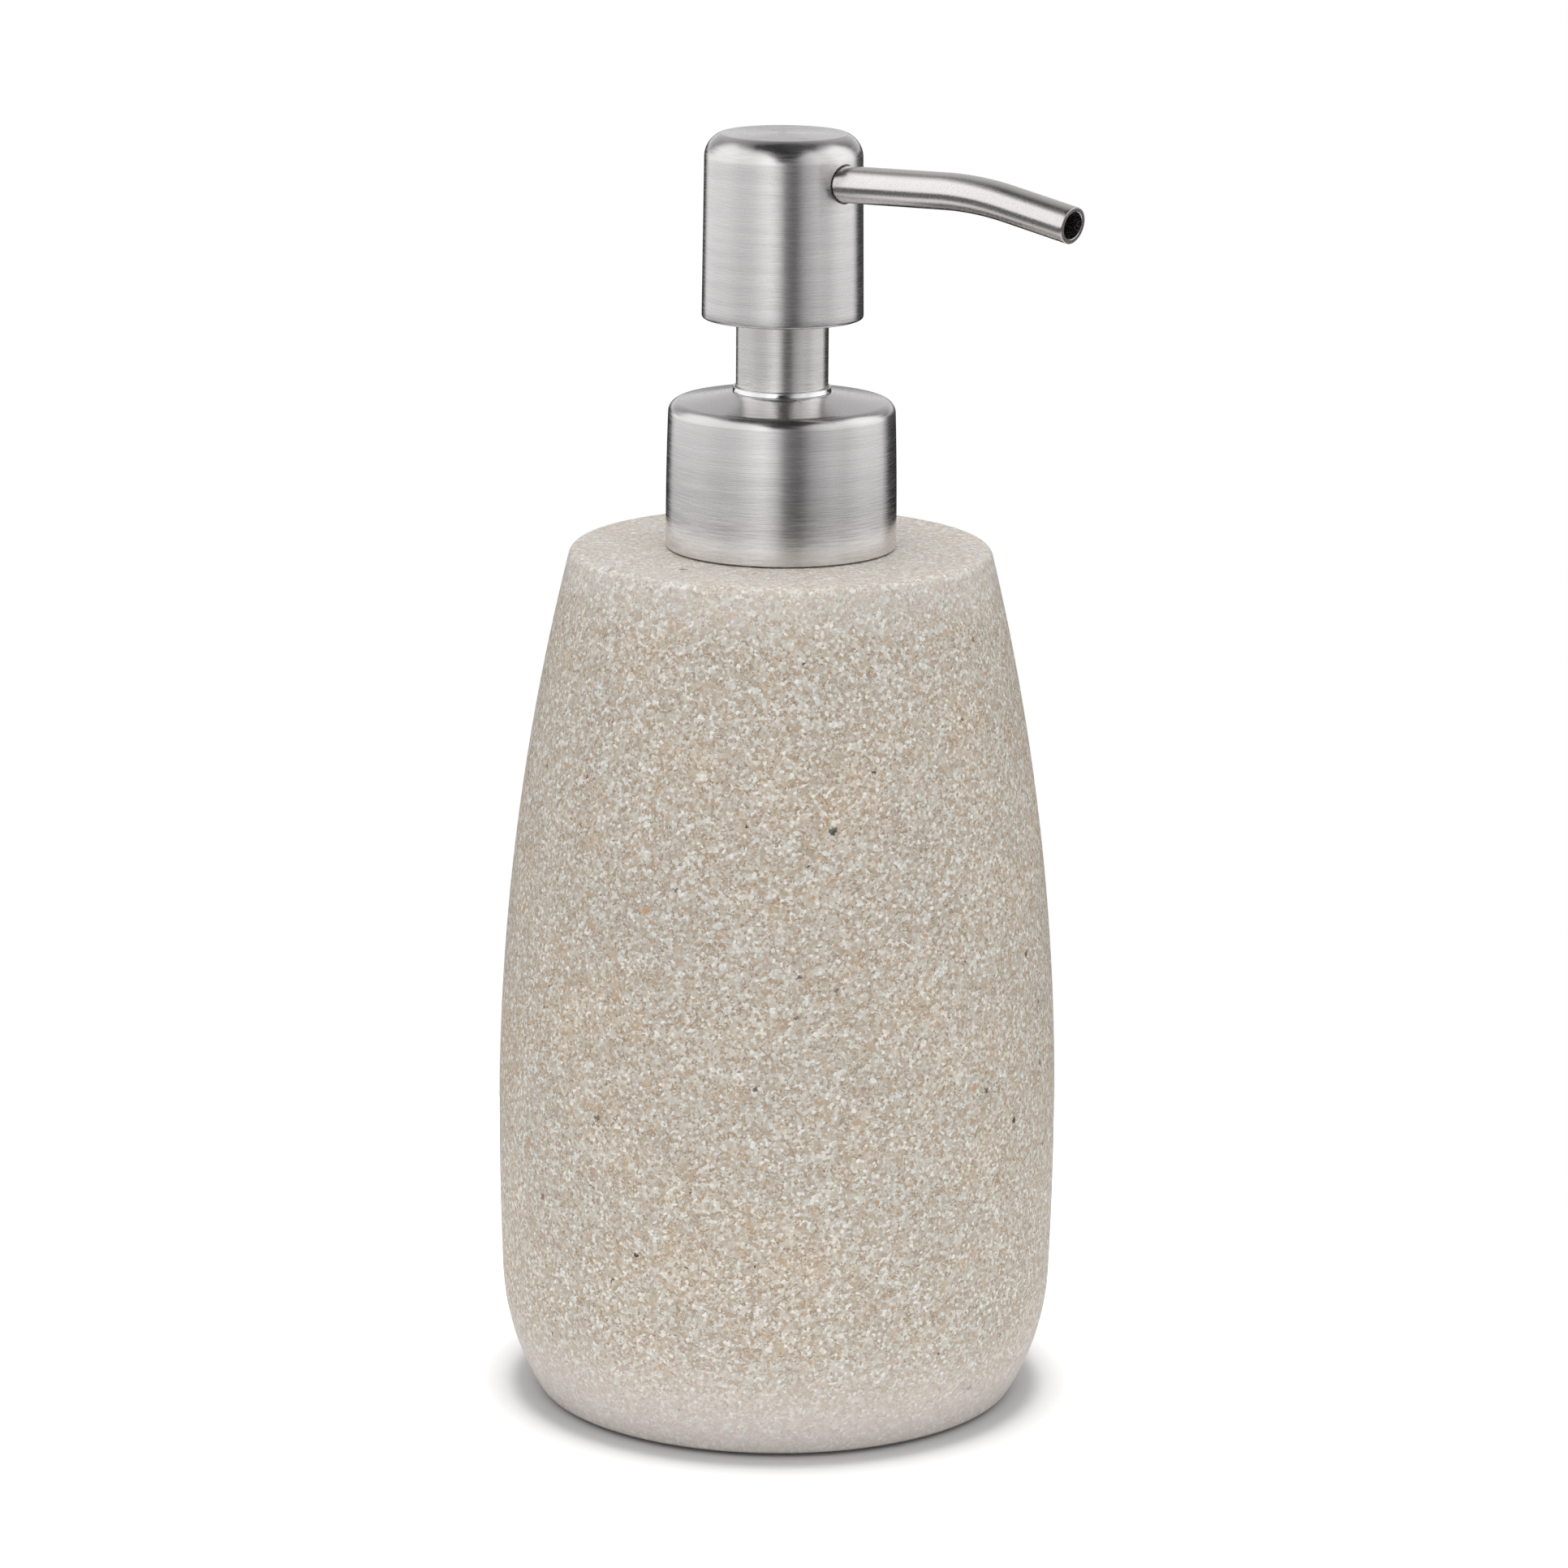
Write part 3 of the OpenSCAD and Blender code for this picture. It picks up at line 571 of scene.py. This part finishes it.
def bottle_outline():
    """Sides of three arcs that run into each other, a rounded edge and heel, a cavity and a recess."""
    low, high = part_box("bottle_body")
    pad_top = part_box("base_pad")[1]
    radius, top, bottom = high.y, high.z, low.z
    side_c = (radius - SIDE_RADIUS, WIDEST_Z)
    belly_c = (radius - BELLY_RADIUS, WIDEST_Z)
    slide = BELLY_RADIUS - TUCK_RADIUS
    turn = math.radians(BELLY_TURN)
    tuck_c = (belly_c[0] + slide * math.cos(turn), belly_c[1] - slide * math.sin(turn))
    heel_z = bottom + HEEL_ROUND
    heel_turn = math.asin((tuck_c[1] - heel_z) / (TUCK_RADIUS - HEEL_ROUND))
    heel_c = (tuck_c[0] + (TUCK_RADIUS - HEEL_ROUND) * math.cos(heel_turn), heel_z)
    edge_z = top - EDGE_ROUND
    edge_turn = math.asin((edge_z - WIDEST_Z) / (SIDE_RADIUS - EDGE_ROUND))
    edge_c = (side_c[0] + (SIDE_RADIUS - EDGE_ROUND) * math.cos(edge_turn), edge_z)
    heel_deg, edge_deg = math.degrees(heel_turn), math.degrees(edge_turn)
    recess_r = pad_top.x + PAD_GAP
    outside = arc(heel_c, HEEL_ROUND, -90, -heel_deg, 8)
    outside += arc(tuck_c, TUCK_RADIUS, -heel_deg, -BELLY_TURN, 26)[1:]
    outside += arc(belly_c, BELLY_RADIUS, -BELLY_TURN, 0, 10)[1:]
    outside += arc(side_c, SIDE_RADIUS, 0, edge_deg, 60)[1:]
    outside += arc(edge_c, EDGE_ROUND, edge_deg, 90, 12)[1:]
    ceiling, floor = top - TOP_WALL, bottom + CAVITY_Z
    inner_turn = math.degrees(math.asin((tuck_c[1] - floor) / (TUCK_RADIUS - WALL)))
    inner_top = math.degrees(math.asin((ceiling - WIDEST_Z) / (SIDE_RADIUS - WALL)))
    inside = arc(side_c, SIDE_RADIUS - WALL, inner_top, 0, 20)
    inside += arc(belly_c, BELLY_RADIUS - WALL, 0, -BELLY_TURN, 4)[1:]
    inside += arc(tuck_c, TUCK_RADIUS - WALL, -BELLY_TURN, -inner_turn, 10)[1:]
    mouth = [(MOUTH_R + MOUTH_EASE, top), (MOUTH_R, top - MOUTH_EASE), (MOUTH_R, ceiling)]
    recess = [(0, floor), (0, pad_top.z), (recess_r, pad_top.z), (recess_r, bottom)]
    return outside + mouth + inside + recess


finish_mesh("stone_bottle", lathe(bottle_outline(), BOTTLE_SIDES), "stone_resin", "bottle",
            "bottle_body")

# ---------------------------------------------------------------- collar

COLLAR_R = 15.25 * MM       # where its barrelled side is widest
COLLAR_BULGE = 2.5 * MM     # how high that is above its foot
COLLAR_SIDE_RADIUS = 445 * MM
COLLAR_ROUND = 1.6 * MM
COLLAR_ROUND_DROP = 1.5 * MM
COLLAR_SHEET = 0.35 * MM
COLLAR_LIP = 0.12 * MM
COLLAR_CREASE_R = 13.9 * MM
DOME_RISE = 1.29 * MM
HOLE_R = 6.5 * MM


def collar_outline():
    """A drawn shell: barrelled side, soft shoulder, and a top that rises gently to the stem's hole."""
    low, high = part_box("closure_shell")
    bottom = low.z
    bulge_z = bottom + COLLAR_BULGE
    round_z = high.z - DOME_RISE - COLLAR_ROUND_DROP
    side_c = (COLLAR_R - COLLAR_SIDE_RADIUS, bulge_z)
    reach = math.asin((round_z - bulge_z) / COLLAR_SIDE_RADIUS)
    round_c = (side_c[0] + COLLAR_SIDE_RADIUS * math.cos(reach) - COLLAR_ROUND, round_z)
    crease_deg = math.degrees(math.acos((COLLAR_CREASE_R - round_c[0]) / COLLAR_ROUND))

    def skin(inset):
        points = arc(side_c, COLLAR_SIDE_RADIUS - inset,
                     -math.degrees(math.asin(COLLAR_BULGE / COLLAR_SIDE_RADIUS)),
                     math.degrees(reach), 16)
        points += arc(round_c, COLLAR_ROUND - inset, 0, crease_deg, 12)[1:]
        crease = points[-1]
        foot = (HOLE_R, high.z - inset)
        for share in (0.04, 0.12, 0.3, 0.5, 0.7, 0.9, 1.0):
            points.append((crease[0] + (foot[0] - crease[0]) * share,
                           crease[1] + (foot[1] - crease[1]) * share))
        return points

    outer, inner = skin(0), skin(COLLAR_SHEET)
    foot_r = outer[0][0]
    inner_r = foot_r - COLLAR_SHEET
    outer[0] = (foot_r, bottom + COLLAR_LIP)
    hem = [(inner_r, bottom + COLLAR_LIP), (inner_r + COLLAR_LIP, bottom), (foot_r - COLLAR_LIP, bottom)]
    return outer + list(reversed(inner))[:-1] + hem


finish_mesh("steel_collar", lathe(collar_outline(), SHELL_SIDES), "brushed_shell", "closure",
            "closure_shell")

# ---------------------------------------------------------------- guide ring

RING_BORE_R = 6.14 * MM
RING_FLANGE = 0.35 * MM
RING_STEP = 0.1 * MM
RING_CLEARANCE = 0.03 * MM
RING_SHOW = 0.02 * MM       # how far its neck stands out of the collar's hole
RING_LIP = 0.2 * MM         # from the bore to the middle of the rounded rim
RING_RIM = 0.08 * MM
RING_FLARE = 0.18 * MM
RING_EDGE = 0.05 * MM       # from the middle of the rim to the narrow end of the flare
RING_CREVICE = 0.5 * MM     # depth of the bevel that leads down into the bore
RING_HOLLOW = 1.6           # how hollow the flare is; 1 would be a plain cone


def guide_ring_outline():
    """A flange under the collar, a neck through its hole, and a hollow flare up to a thin rim."""
    low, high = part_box("guide_ring")
    neck_r = HOLE_R - RING_CLEARANCE
    lip_r = RING_BORE_R + RING_LIP
    seat_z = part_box("closure_shell")[1].z
    rim_z = high.z - RING_RIM
    flange_z = low.z + RING_FLANGE
    outline = [(RING_BORE_R, low.z), (high.x, low.z), (high.x, flange_z),
               (neck_r, flange_z + RING_STEP), (neck_r, seat_z + RING_SHOW)]
    for share in (0.15, 0.35, 0.55, 0.75, 0.9):
        flare = RING_FLARE * (1 - share) ** RING_HOLLOW
        outline.append((lip_r + RING_EDGE + flare, seat_z + share * (rim_z - seat_z)))
    outline += arc((lip_r, rim_z), RING_RIM, 20, 180, 8)
    outline.append((RING_BORE_R, high.z - RING_CREVICE))
    return outline


finish_mesh("polished_guide_ring", lathe(guide_ring_outline(), RING_SIDES), "polished_ring", "closure",
            "guide_ring")

# ---------------------------------------------------------------- stem sleeve

SLEEVE_WALL = 0.35 * MM
SLEEVE_EASE = 0.08 * MM


def sleeve_outline():
    """A plain tube with its four edges eased."""
    low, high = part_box("stem_sleeve")
    outer, ease = high.y, SLEEVE_EASE
    inner = outer - SLEEVE_WALL
    return [(inner, low.z + ease), (inner + ease, low.z), (outer - ease, low.z), (outer, low.z + ease),
            (outer, high.z - ease), (outer - ease, high.z), (inner + ease, high.z), (inner, high.z - ease)]


finish_mesh("steel_sleeve", lathe(sleeve_outline(), RING_SIDES), "brushed_tube", "stem", "stem_sleeve",
            SLEEVE_STEEL)

# ---------------------------------------------------------------- spout

SPOUT_R = 2.4 * MM
SPOUT_BORE_R = 1.8 * MM
SPOUT_RIM = 0.1 * MM
SPOUT_BORE_EASE = 0.05 * MM
SPOUT_RISE = math.radians(2.4)
SPOUT_FALL = math.radians(9.8)
SPOUT_STRAIGHT = 26.8 * MM
SPOUT_BEND_R = 50 * MM
SPOUT_END = 10.2 * MM
SPOUT_UP = 18 * MM          # above the foot of the head
head_low, head_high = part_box("head_shell")
spout_z = head_low.z + SPOUT_UP


def spout_line():
    """Centre line and direction of the spout: a straight run, a bend and a straight end."""
    rise = Vector((math.cos(SPOUT_RISE), 0, math.sin(SPOUT_RISE)))
    start = Vector((0, 0, spout_z))
    line = [(start + rise * s, rise) for s in (3.5 * MM, 8 * MM, 14 * MM, 20 * MM)]
    knee = start + rise * SPOUT_STRAIGHT
    centre = knee + Vector((math.sin(SPOUT_RISE), 0, -math.cos(SPOUT_RISE))) * SPOUT_BEND_R
    steps = 28
    for i in range(steps + 1):
        a = SPOUT_RISE - (SPOUT_RISE + SPOUT_FALL) * i / steps
        along = Vector((math.cos(a), 0, math.sin(a)))
        line.append((centre + Vector((-math.sin(a), 0, math.cos(a))) * SPOUT_BEND_R, along))
    tip, along = line[-1]
    for share in (0.35, 0.7, 0.94, 1.0):
        line.append((tip + along * SPOUT_END * share, along))
    return line


def make_spout():
    """Outside wall, rounded rim, bore and inner end, swept as one closed skin."""
    line = spout_line()
    tip, along = line[-1]
    stations = [(point, direction, SPOUT_R) for point, direction in line[:-1]]
    steps = 7
    for i in range(steps + 1):
        a = math.pi / 2 * i / steps
        back = SPOUT_RIM * (1 - math.sin(a))
        stations.append((tip - along * back, along, SPOUT_R - SPOUT_RIM * (1 - math.cos(a))))
    stations.append((tip, along, SPOUT_BORE_R + SPOUT_BORE_EASE))
    stations.append((tip - along * SPOUT_BORE_EASE, along, SPOUT_BORE_R))
    stations += [(point, direction, SPOUT_BORE_R) for point, direction in reversed(line[:-1])]
    side = Vector((0, 1, 0))
    rings = [(point, radius, (side, Vector((-direction.z, 0, direction.x))))
             for point, direction, radius in stations]
    return sweep(rings, SPOUT_SIDES, closed=True)


finish_mesh("steel_spout", make_spout(), "brushed_tube", "head", "spout_tube")

# ---------------------------------------------------------------- head shell

HEAD_R = 10.63 * MM         # at the foot; the side tapers from here to the shoulder
HEAD_TOP_R = 10.38 * MM
HEAD_SHOULDER_R = 3.3 * MM
HEAD_SHEET = 0.4 * MM
HEAD_CREASE_DEG = 68
HEAD_TOP_RISE = 0.09 * MM
HEM_ROUND = 0.35 * MM
HEM_R = 9.93 * MM           # inside of the turned-in hem
HEM_DEPTH = 0.8 * MM
HEM_EASE = 0.1 * MM
SPOUT_HOLE_R = 2.6 * MM
DRILL_DEPTH = 10 * MM


def head_outline():
    """A drawn cap: hem turned in at the foot, tapered side, round shoulder, and a crease round the top."""
    bottom, top = head_low.z, head_high.z
    round_z = top - HEAD_TOP_RISE - HEAD_SHOULDER_R * math.sin(math.radians(HEAD_CREASE_DEG))
    round_c = (HEAD_TOP_R - HEAD_SHOULDER_R, round_z)
    hem_z = bottom + HEM_ROUND
    outer = arc((HEAD_R - HEM_ROUND, hem_z), HEM_ROUND, -90, 0, 9)
    steps = 24
    for i in range(1, steps):
        share = i / steps
        outer.append((HEAD_R + (HEAD_TOP_R - HEAD_R) * share, hem_z + (round_z - hem_z) * share))
    outer += arc(round_c, HEAD_SHOULDER_R, 0, HEAD_CREASE_DEG, 18)
    crease = outer[-1]
    for share in (0.03, 0.08, 0.2, 0.4, 0.6, 0.8, 1.0):
        outer.append((crease[0] * (1 - share), top - (top - crease[1]) * (1 - share)))
    inner = [(0, top - HEAD_SHEET)]
    inner += list(reversed(arc(round_c, HEAD_SHOULDER_R - HEAD_SHEET, 0, HEAD_CREASE_DEG, 8)))
    inner += [(HEAD_R - HEAD_SHEET, bottom + HEM_DEPTH + HEM_EASE), (HEM_R, bottom + HEM_DEPTH),
              (HEM_R, bottom + 1.5 * HEM_EASE), (HEM_R + HEM_EASE, bottom)]
    return outer + inner


def make_drill():
    """A round bar that stands in the place of the spout's hole."""
    mesh = bmesh.new()
    bmesh.ops.create_cone(mesh, cap_ends=True, segments=96, radius1=SPOUT_HOLE_R,
                          radius2=SPOUT_HOLE_R, depth=DRILL_DEPTH)
    data = bpy.data.meshes.new("drill")
    mesh.to_mesh(data)
    mesh.free()
    drill = bpy.data.objects.new("drill", data)
    bpy.context.scene.collection.objects.link(drill)
    along = Matrix.Rotation(math.pi / 2 - SPOUT_RISE, 4, "Y")
    out = Matrix.Translation((0, 0, DRILL_DEPTH))
    drill.matrix_world = Matrix.Translation((0, 0, spout_z)) @ along @ out
    return drill


def make_head_shell():
    """The cap, with the spout's hole cut through one side."""
    piece = finish_mesh("steel_head", lathe(head_outline(), SHELL_SIDES), "brushed_shell", "head",
                        "head_shell")
    drill = make_drill()
    cut = piece.modifiers.new("hole", "BOOLEAN")
    cut.operation = "DIFFERENCE"
    cut.solver = "EXACT"
    cut.object = drill
    bpy.context.view_layer.update()
    drilled = piece.evaluated_get(bpy.context.evaluated_depsgraph_get())
    done = bpy.data.meshes.new_from_object(drilled)
    piece.modifiers.clear()
    piece.data = done
    bpy.data.objects.remove(drill)
    piece.data.set_sharp_from_angle(angle=SMOOTH_BELOW)


make_head_shell()

# ---------------------------------------------------------------- return spring

SPRING_TURNS = 5.5
SPRING_WIRE_R = 0.5 * MM
SPRING_STEPS = 40           # points in one turn
SPRING_DEAD = 0.18          # share of the wire over which the pitch runs out at either end


def spring_lift(share):
    """How far up the spring its wire is, from 0 to 1, with the coils closing up towards both ends."""
    if share < SPRING_DEAD:
        lift = share * share / (2 * SPRING_DEAD)
    elif share > 1 - SPRING_DEAD:
        lift = 1 - SPRING_DEAD - (1 - share) ** 2 / (2 * SPRING_DEAD)
    else:
        lift = share - SPRING_DEAD / 2
    return lift / (1 - SPRING_DEAD)


def make_spring(low, high):
    """Round wire wound between two heights, with its last coils closed up."""
    coil_r = high.x - SPRING_WIRE_R
    bottom, top = low.z + SPRING_WIRE_R, high.z - SPRING_WIRE_R
    steps = int(SPRING_TURNS * SPRING_STEPS)
    up = Vector((0, 0, 1))
    stations = []
    for i in range(steps + 1):
        share = i / steps
        a = 2 * math.pi * SPRING_TURNS * share
        out = Vector((math.cos(a), math.sin(a), 0))
        point = out * coil_r + up * (bottom + (top - bottom) * spring_lift(share))
        stations.append((point, SPRING_WIRE_R, (out, up)))
    return sweep(stations, WIRE_SIDES, closed=False)


spring_low, spring_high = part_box("return_spring")
spring = finish_mesh("wire_spring", make_spring(spring_low, spring_high), "spring_steel", "pump_unit",
                     "return_spring", smooth_below=ROUND_WIRE)
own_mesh(spring)

# ---------------------------------------------------------------- carried-over nodes

slots = {row["node"]: row["material_slot"] for row in frame["record"]["subparts"]}
for node_name, node_object in frame["nodes"].items():
    for material_slot in node_object.material_slots:
        material_slot.material = MATERIALS[slots[node_name]]

# ---------------------------------------------------------------- studio

FLOOR_R = 0.14
FLOOR_DROP = 0.05 * MM          # keeps the table's face apart from the pad's
LAMP_HEIGHT = 0.6
LAMP_SIZE = 0.28
LAMP_POWER = 6.3
FLOOR_SEEN, FLOOR_LIT = 0.60, 0.34      # the table's tone for the camera, and for light that meets it


def grey(tone):
    return (tone, tone, tone, 1)


def make_floor_lamp(floor):
    """A soft round lamp overhead that lights the table alone, so the bottle has a close, soft shadow."""
    lamp = bpy.data.lights.new("table_lamp", "AREA")
    lamp.shape = "DISK"
    lamp.size = LAMP_SIZE
    lamp.energy = LAMP_POWER
    hung = bpy.data.objects.new("table_lamp", lamp)
    hung.location = (0, 0, LAMP_HEIGHT)
    bpy.context.scene.collection.objects.link(hung)
    lit = bpy.data.collections.new("lit_by_table_lamp")
    lit.objects.link(floor)
    hung.light_linking.receiver_collection = lit


def make_floor():
    """A round pale table top."""
    mesh = bmesh.new()
    bmesh.ops.create_circle(mesh, cap_ends=True, segments=128, radius=FLOOR_R)
    data = bpy.data.meshes.new("floor")
    mesh.to_mesh(data)
    mesh.free()
    floor = bpy.data.objects.new("floor", data)
    floor.location.z = -FLOOR_DROP
    bpy.context.scene.collection.objects.link(floor)
    material, tree, shader, _ = new_material("pale_floor", Roughness=0.9, Specular_IOR_Level=0.0)
    seen = new_node(tree, "ShaderNodeLightPath").outputs["Is Camera Ray"]
    connect(tree, shader, "Base Color", mix_colour(tree, seen, grey(FLOOR_LIT), grey(FLOOR_SEEN)))
    data.materials.append(material)
    make_floor_lamp(floor)


def bearing_at(degrees):
    """A bearing in the ramps' 0 to 1: 0.5 is towards the camera, above it the right-hand side."""
    return degrees / 360 + 0.5


def height_at(degrees):
    """A height in the ramps' 0 to 1: 0.5 is level, 1 straight up."""
    return degrees / 180 + 0.5


def at_bearings(tree, bearing, stops):
    return ramp(tree, bearing, [(bearing_at(degrees), tone) for degrees, tone in stops])


def at_heights(tree, height, stops):
    return ramp(tree, height, [(height_at(degrees), tone) for degrees, tone in stops])


def between_heights(tree, height, low, high, to_low=0.0, to_high=1.0):
    return span(tree, height, height_at(low), height_at(high), to_low, to_high)


def between_bearings(tree, bearing, low, high, to_low=0.0, to_high=1.0):
    return span(tree, bearing, bearing_at(low), bearing_at(high), to_low, to_high)


def make_reflected_studio(tree, part, bearing, height):
    """What steel sees: white walls left and right, a dark gap between them, a dark ceiling, and behind
    the dispenser a pale screen."""
    walls = at_bearings(tree, bearing, [
        (-152, 0.03), (-139, 1.0), (-120, 1.0), (-88, 1.0), (-62, 0.86), (-44, 0.90), (-18, 1.30),
        (-6, 1.0), (4, 0.26), (18, 0.16), (31, 0.55), (52, 0.82), (66, 0.78), (88, 1.05), (120, 1.05),
        (134, 0.05)])
    level = at_heights(tree, height, [
        (-60, 0.95), (-42, 0.85), (-34, 0.16), (-15, 0.08), (-11.3, 0.24), (-10.2, 0.42),
        (-8.8, 1.12), (45, 1.12), (53, 0.45), (63, 0.07), (90, 0.05)])
    light = mix_colour(tree, 1.0, walls, level, "MULTIPLY")
    # The gap between the walls, wider further up
    sideways = maths(tree, "ABSOLUTE", maths(tree, "SUBTRACT", part[0], 0.03))
    aside = span(tree, sideways, between_heights(tree, height, 22, 42, 0.1, 0.26),
                 between_heights(tree, height, 22, 42, 0.3, 0.46))
    gap = maths(tree, "MULTIPLY", between_heights(tree, height, 6, 14),
                maths(tree, "SUBTRACT", 1.0, aside))
    light = mix_colour(tree, gap, light, grey(0.04))
    # One small bright panel high up behind, on the left
    panel = maths(tree, "MULTIPLY", between_heights(tree, height, 29, 34),
                  between_heights(tree, height, 54, 50))
    panel = maths(tree, "MULTIPLY", panel, between_bearings(tree, bearing, -173, -168))
    panel = maths(tree, "MULTIPLY", panel, between_bearings(tree, bearing, -137, -142))
    light = mix_colour(tree, panel, light, grey(1.1))
    # The screen behind, brightest low down and in the middle
    rear = maths(tree, "ADD", maths(tree, "ABSOLUTE", maths(tree, "SUBTRACT", bearing, 0.5)), 0.5)
    screen = maths(tree, "MULTIPLY", between_heights(tree, height, 2, 5),
                   between_bearings(tree, rear, 115, 145))
    screen_tone = at_heights(tree, height, [
        (5, 1.0), (9, 0.72), (15, 0.58), (24, 0.52), (38, 0.52), (60, 0.35), (72, 0.06)])
    to_middle = between_bearings(tree, rear, 130, 168, 0.45, 1.0)
    return mix_colour(tree, screen, light, mix_colour(tree, 1.0, screen_tone, to_middle, "MULTIPLY"))


def make_studio_light():
    """Steel sees the studio's walls, matt surfaces get the room's even light, the camera plain white."""
    world = bpy.data.worlds.new("studio")
    bpy.context.scene.world = world
    world.use_nodes = True
    tree = world.node_tree
    tree.nodes.clear()
    direction = new_node(tree, "ShaderNodeTexCoord").outputs["Generated"]
    turned = new_node(tree, "ShaderNodeVectorRotate", {"rotation_type": "Z_AXIS"},
                      Vector=direction, Angle=-CAMERA_AZIMUTH).outputs[0]
    part = new_node(tree, "ShaderNodeSeparateXYZ", Vector=turned).outputs
    round_z = maths(tree, "ARCTAN2", part[0], maths(tree, "MULTIPLY", part[1], -1.0))
    bearing = maths(tree, "MULTIPLY_ADD", round_z, 0.5 / math.pi, 0.5)
    height = maths(tree, "MULTIPLY_ADD", maths(tree, "ARCSINE", part[2]), 1 / math.pi, 0.5)
    room = at_heights(tree, height, [(-90, 0.40), (-4, 0.40), (6, 0.80), (90, 1.40)])
    # The room is a little brighter on the camera's side
    room = mix_colour(tree, 1.0, room, maths(tree, "MULTIPLY_ADD", part[1], -0.22, 1.0), "MULTIPLY")
    path = new_node(tree, "ShaderNodeLightPath").outputs
    colour = mix_colour(tree, path["Is Diffuse Ray"],
                        make_reflected_studio(tree, part, bearing, height), room)
    colour = mix_colour(tree, path["Is Camera Ray"], colour, grey(1.0))
    background = new_node(tree, "ShaderNodeBackground", Color=colour, Strength=1.0)
    output = tree.nodes.new("ShaderNodeOutputWorld")
    tree.links.new(background.outputs[0], output.inputs[0])
    world.cycles.sampling_method = "NONE"
    bpy.context.scene.view_settings.view_transform = "Standard"
    bpy.context.scene.view_settings.look = "None"


make_floor()
make_studio_light()
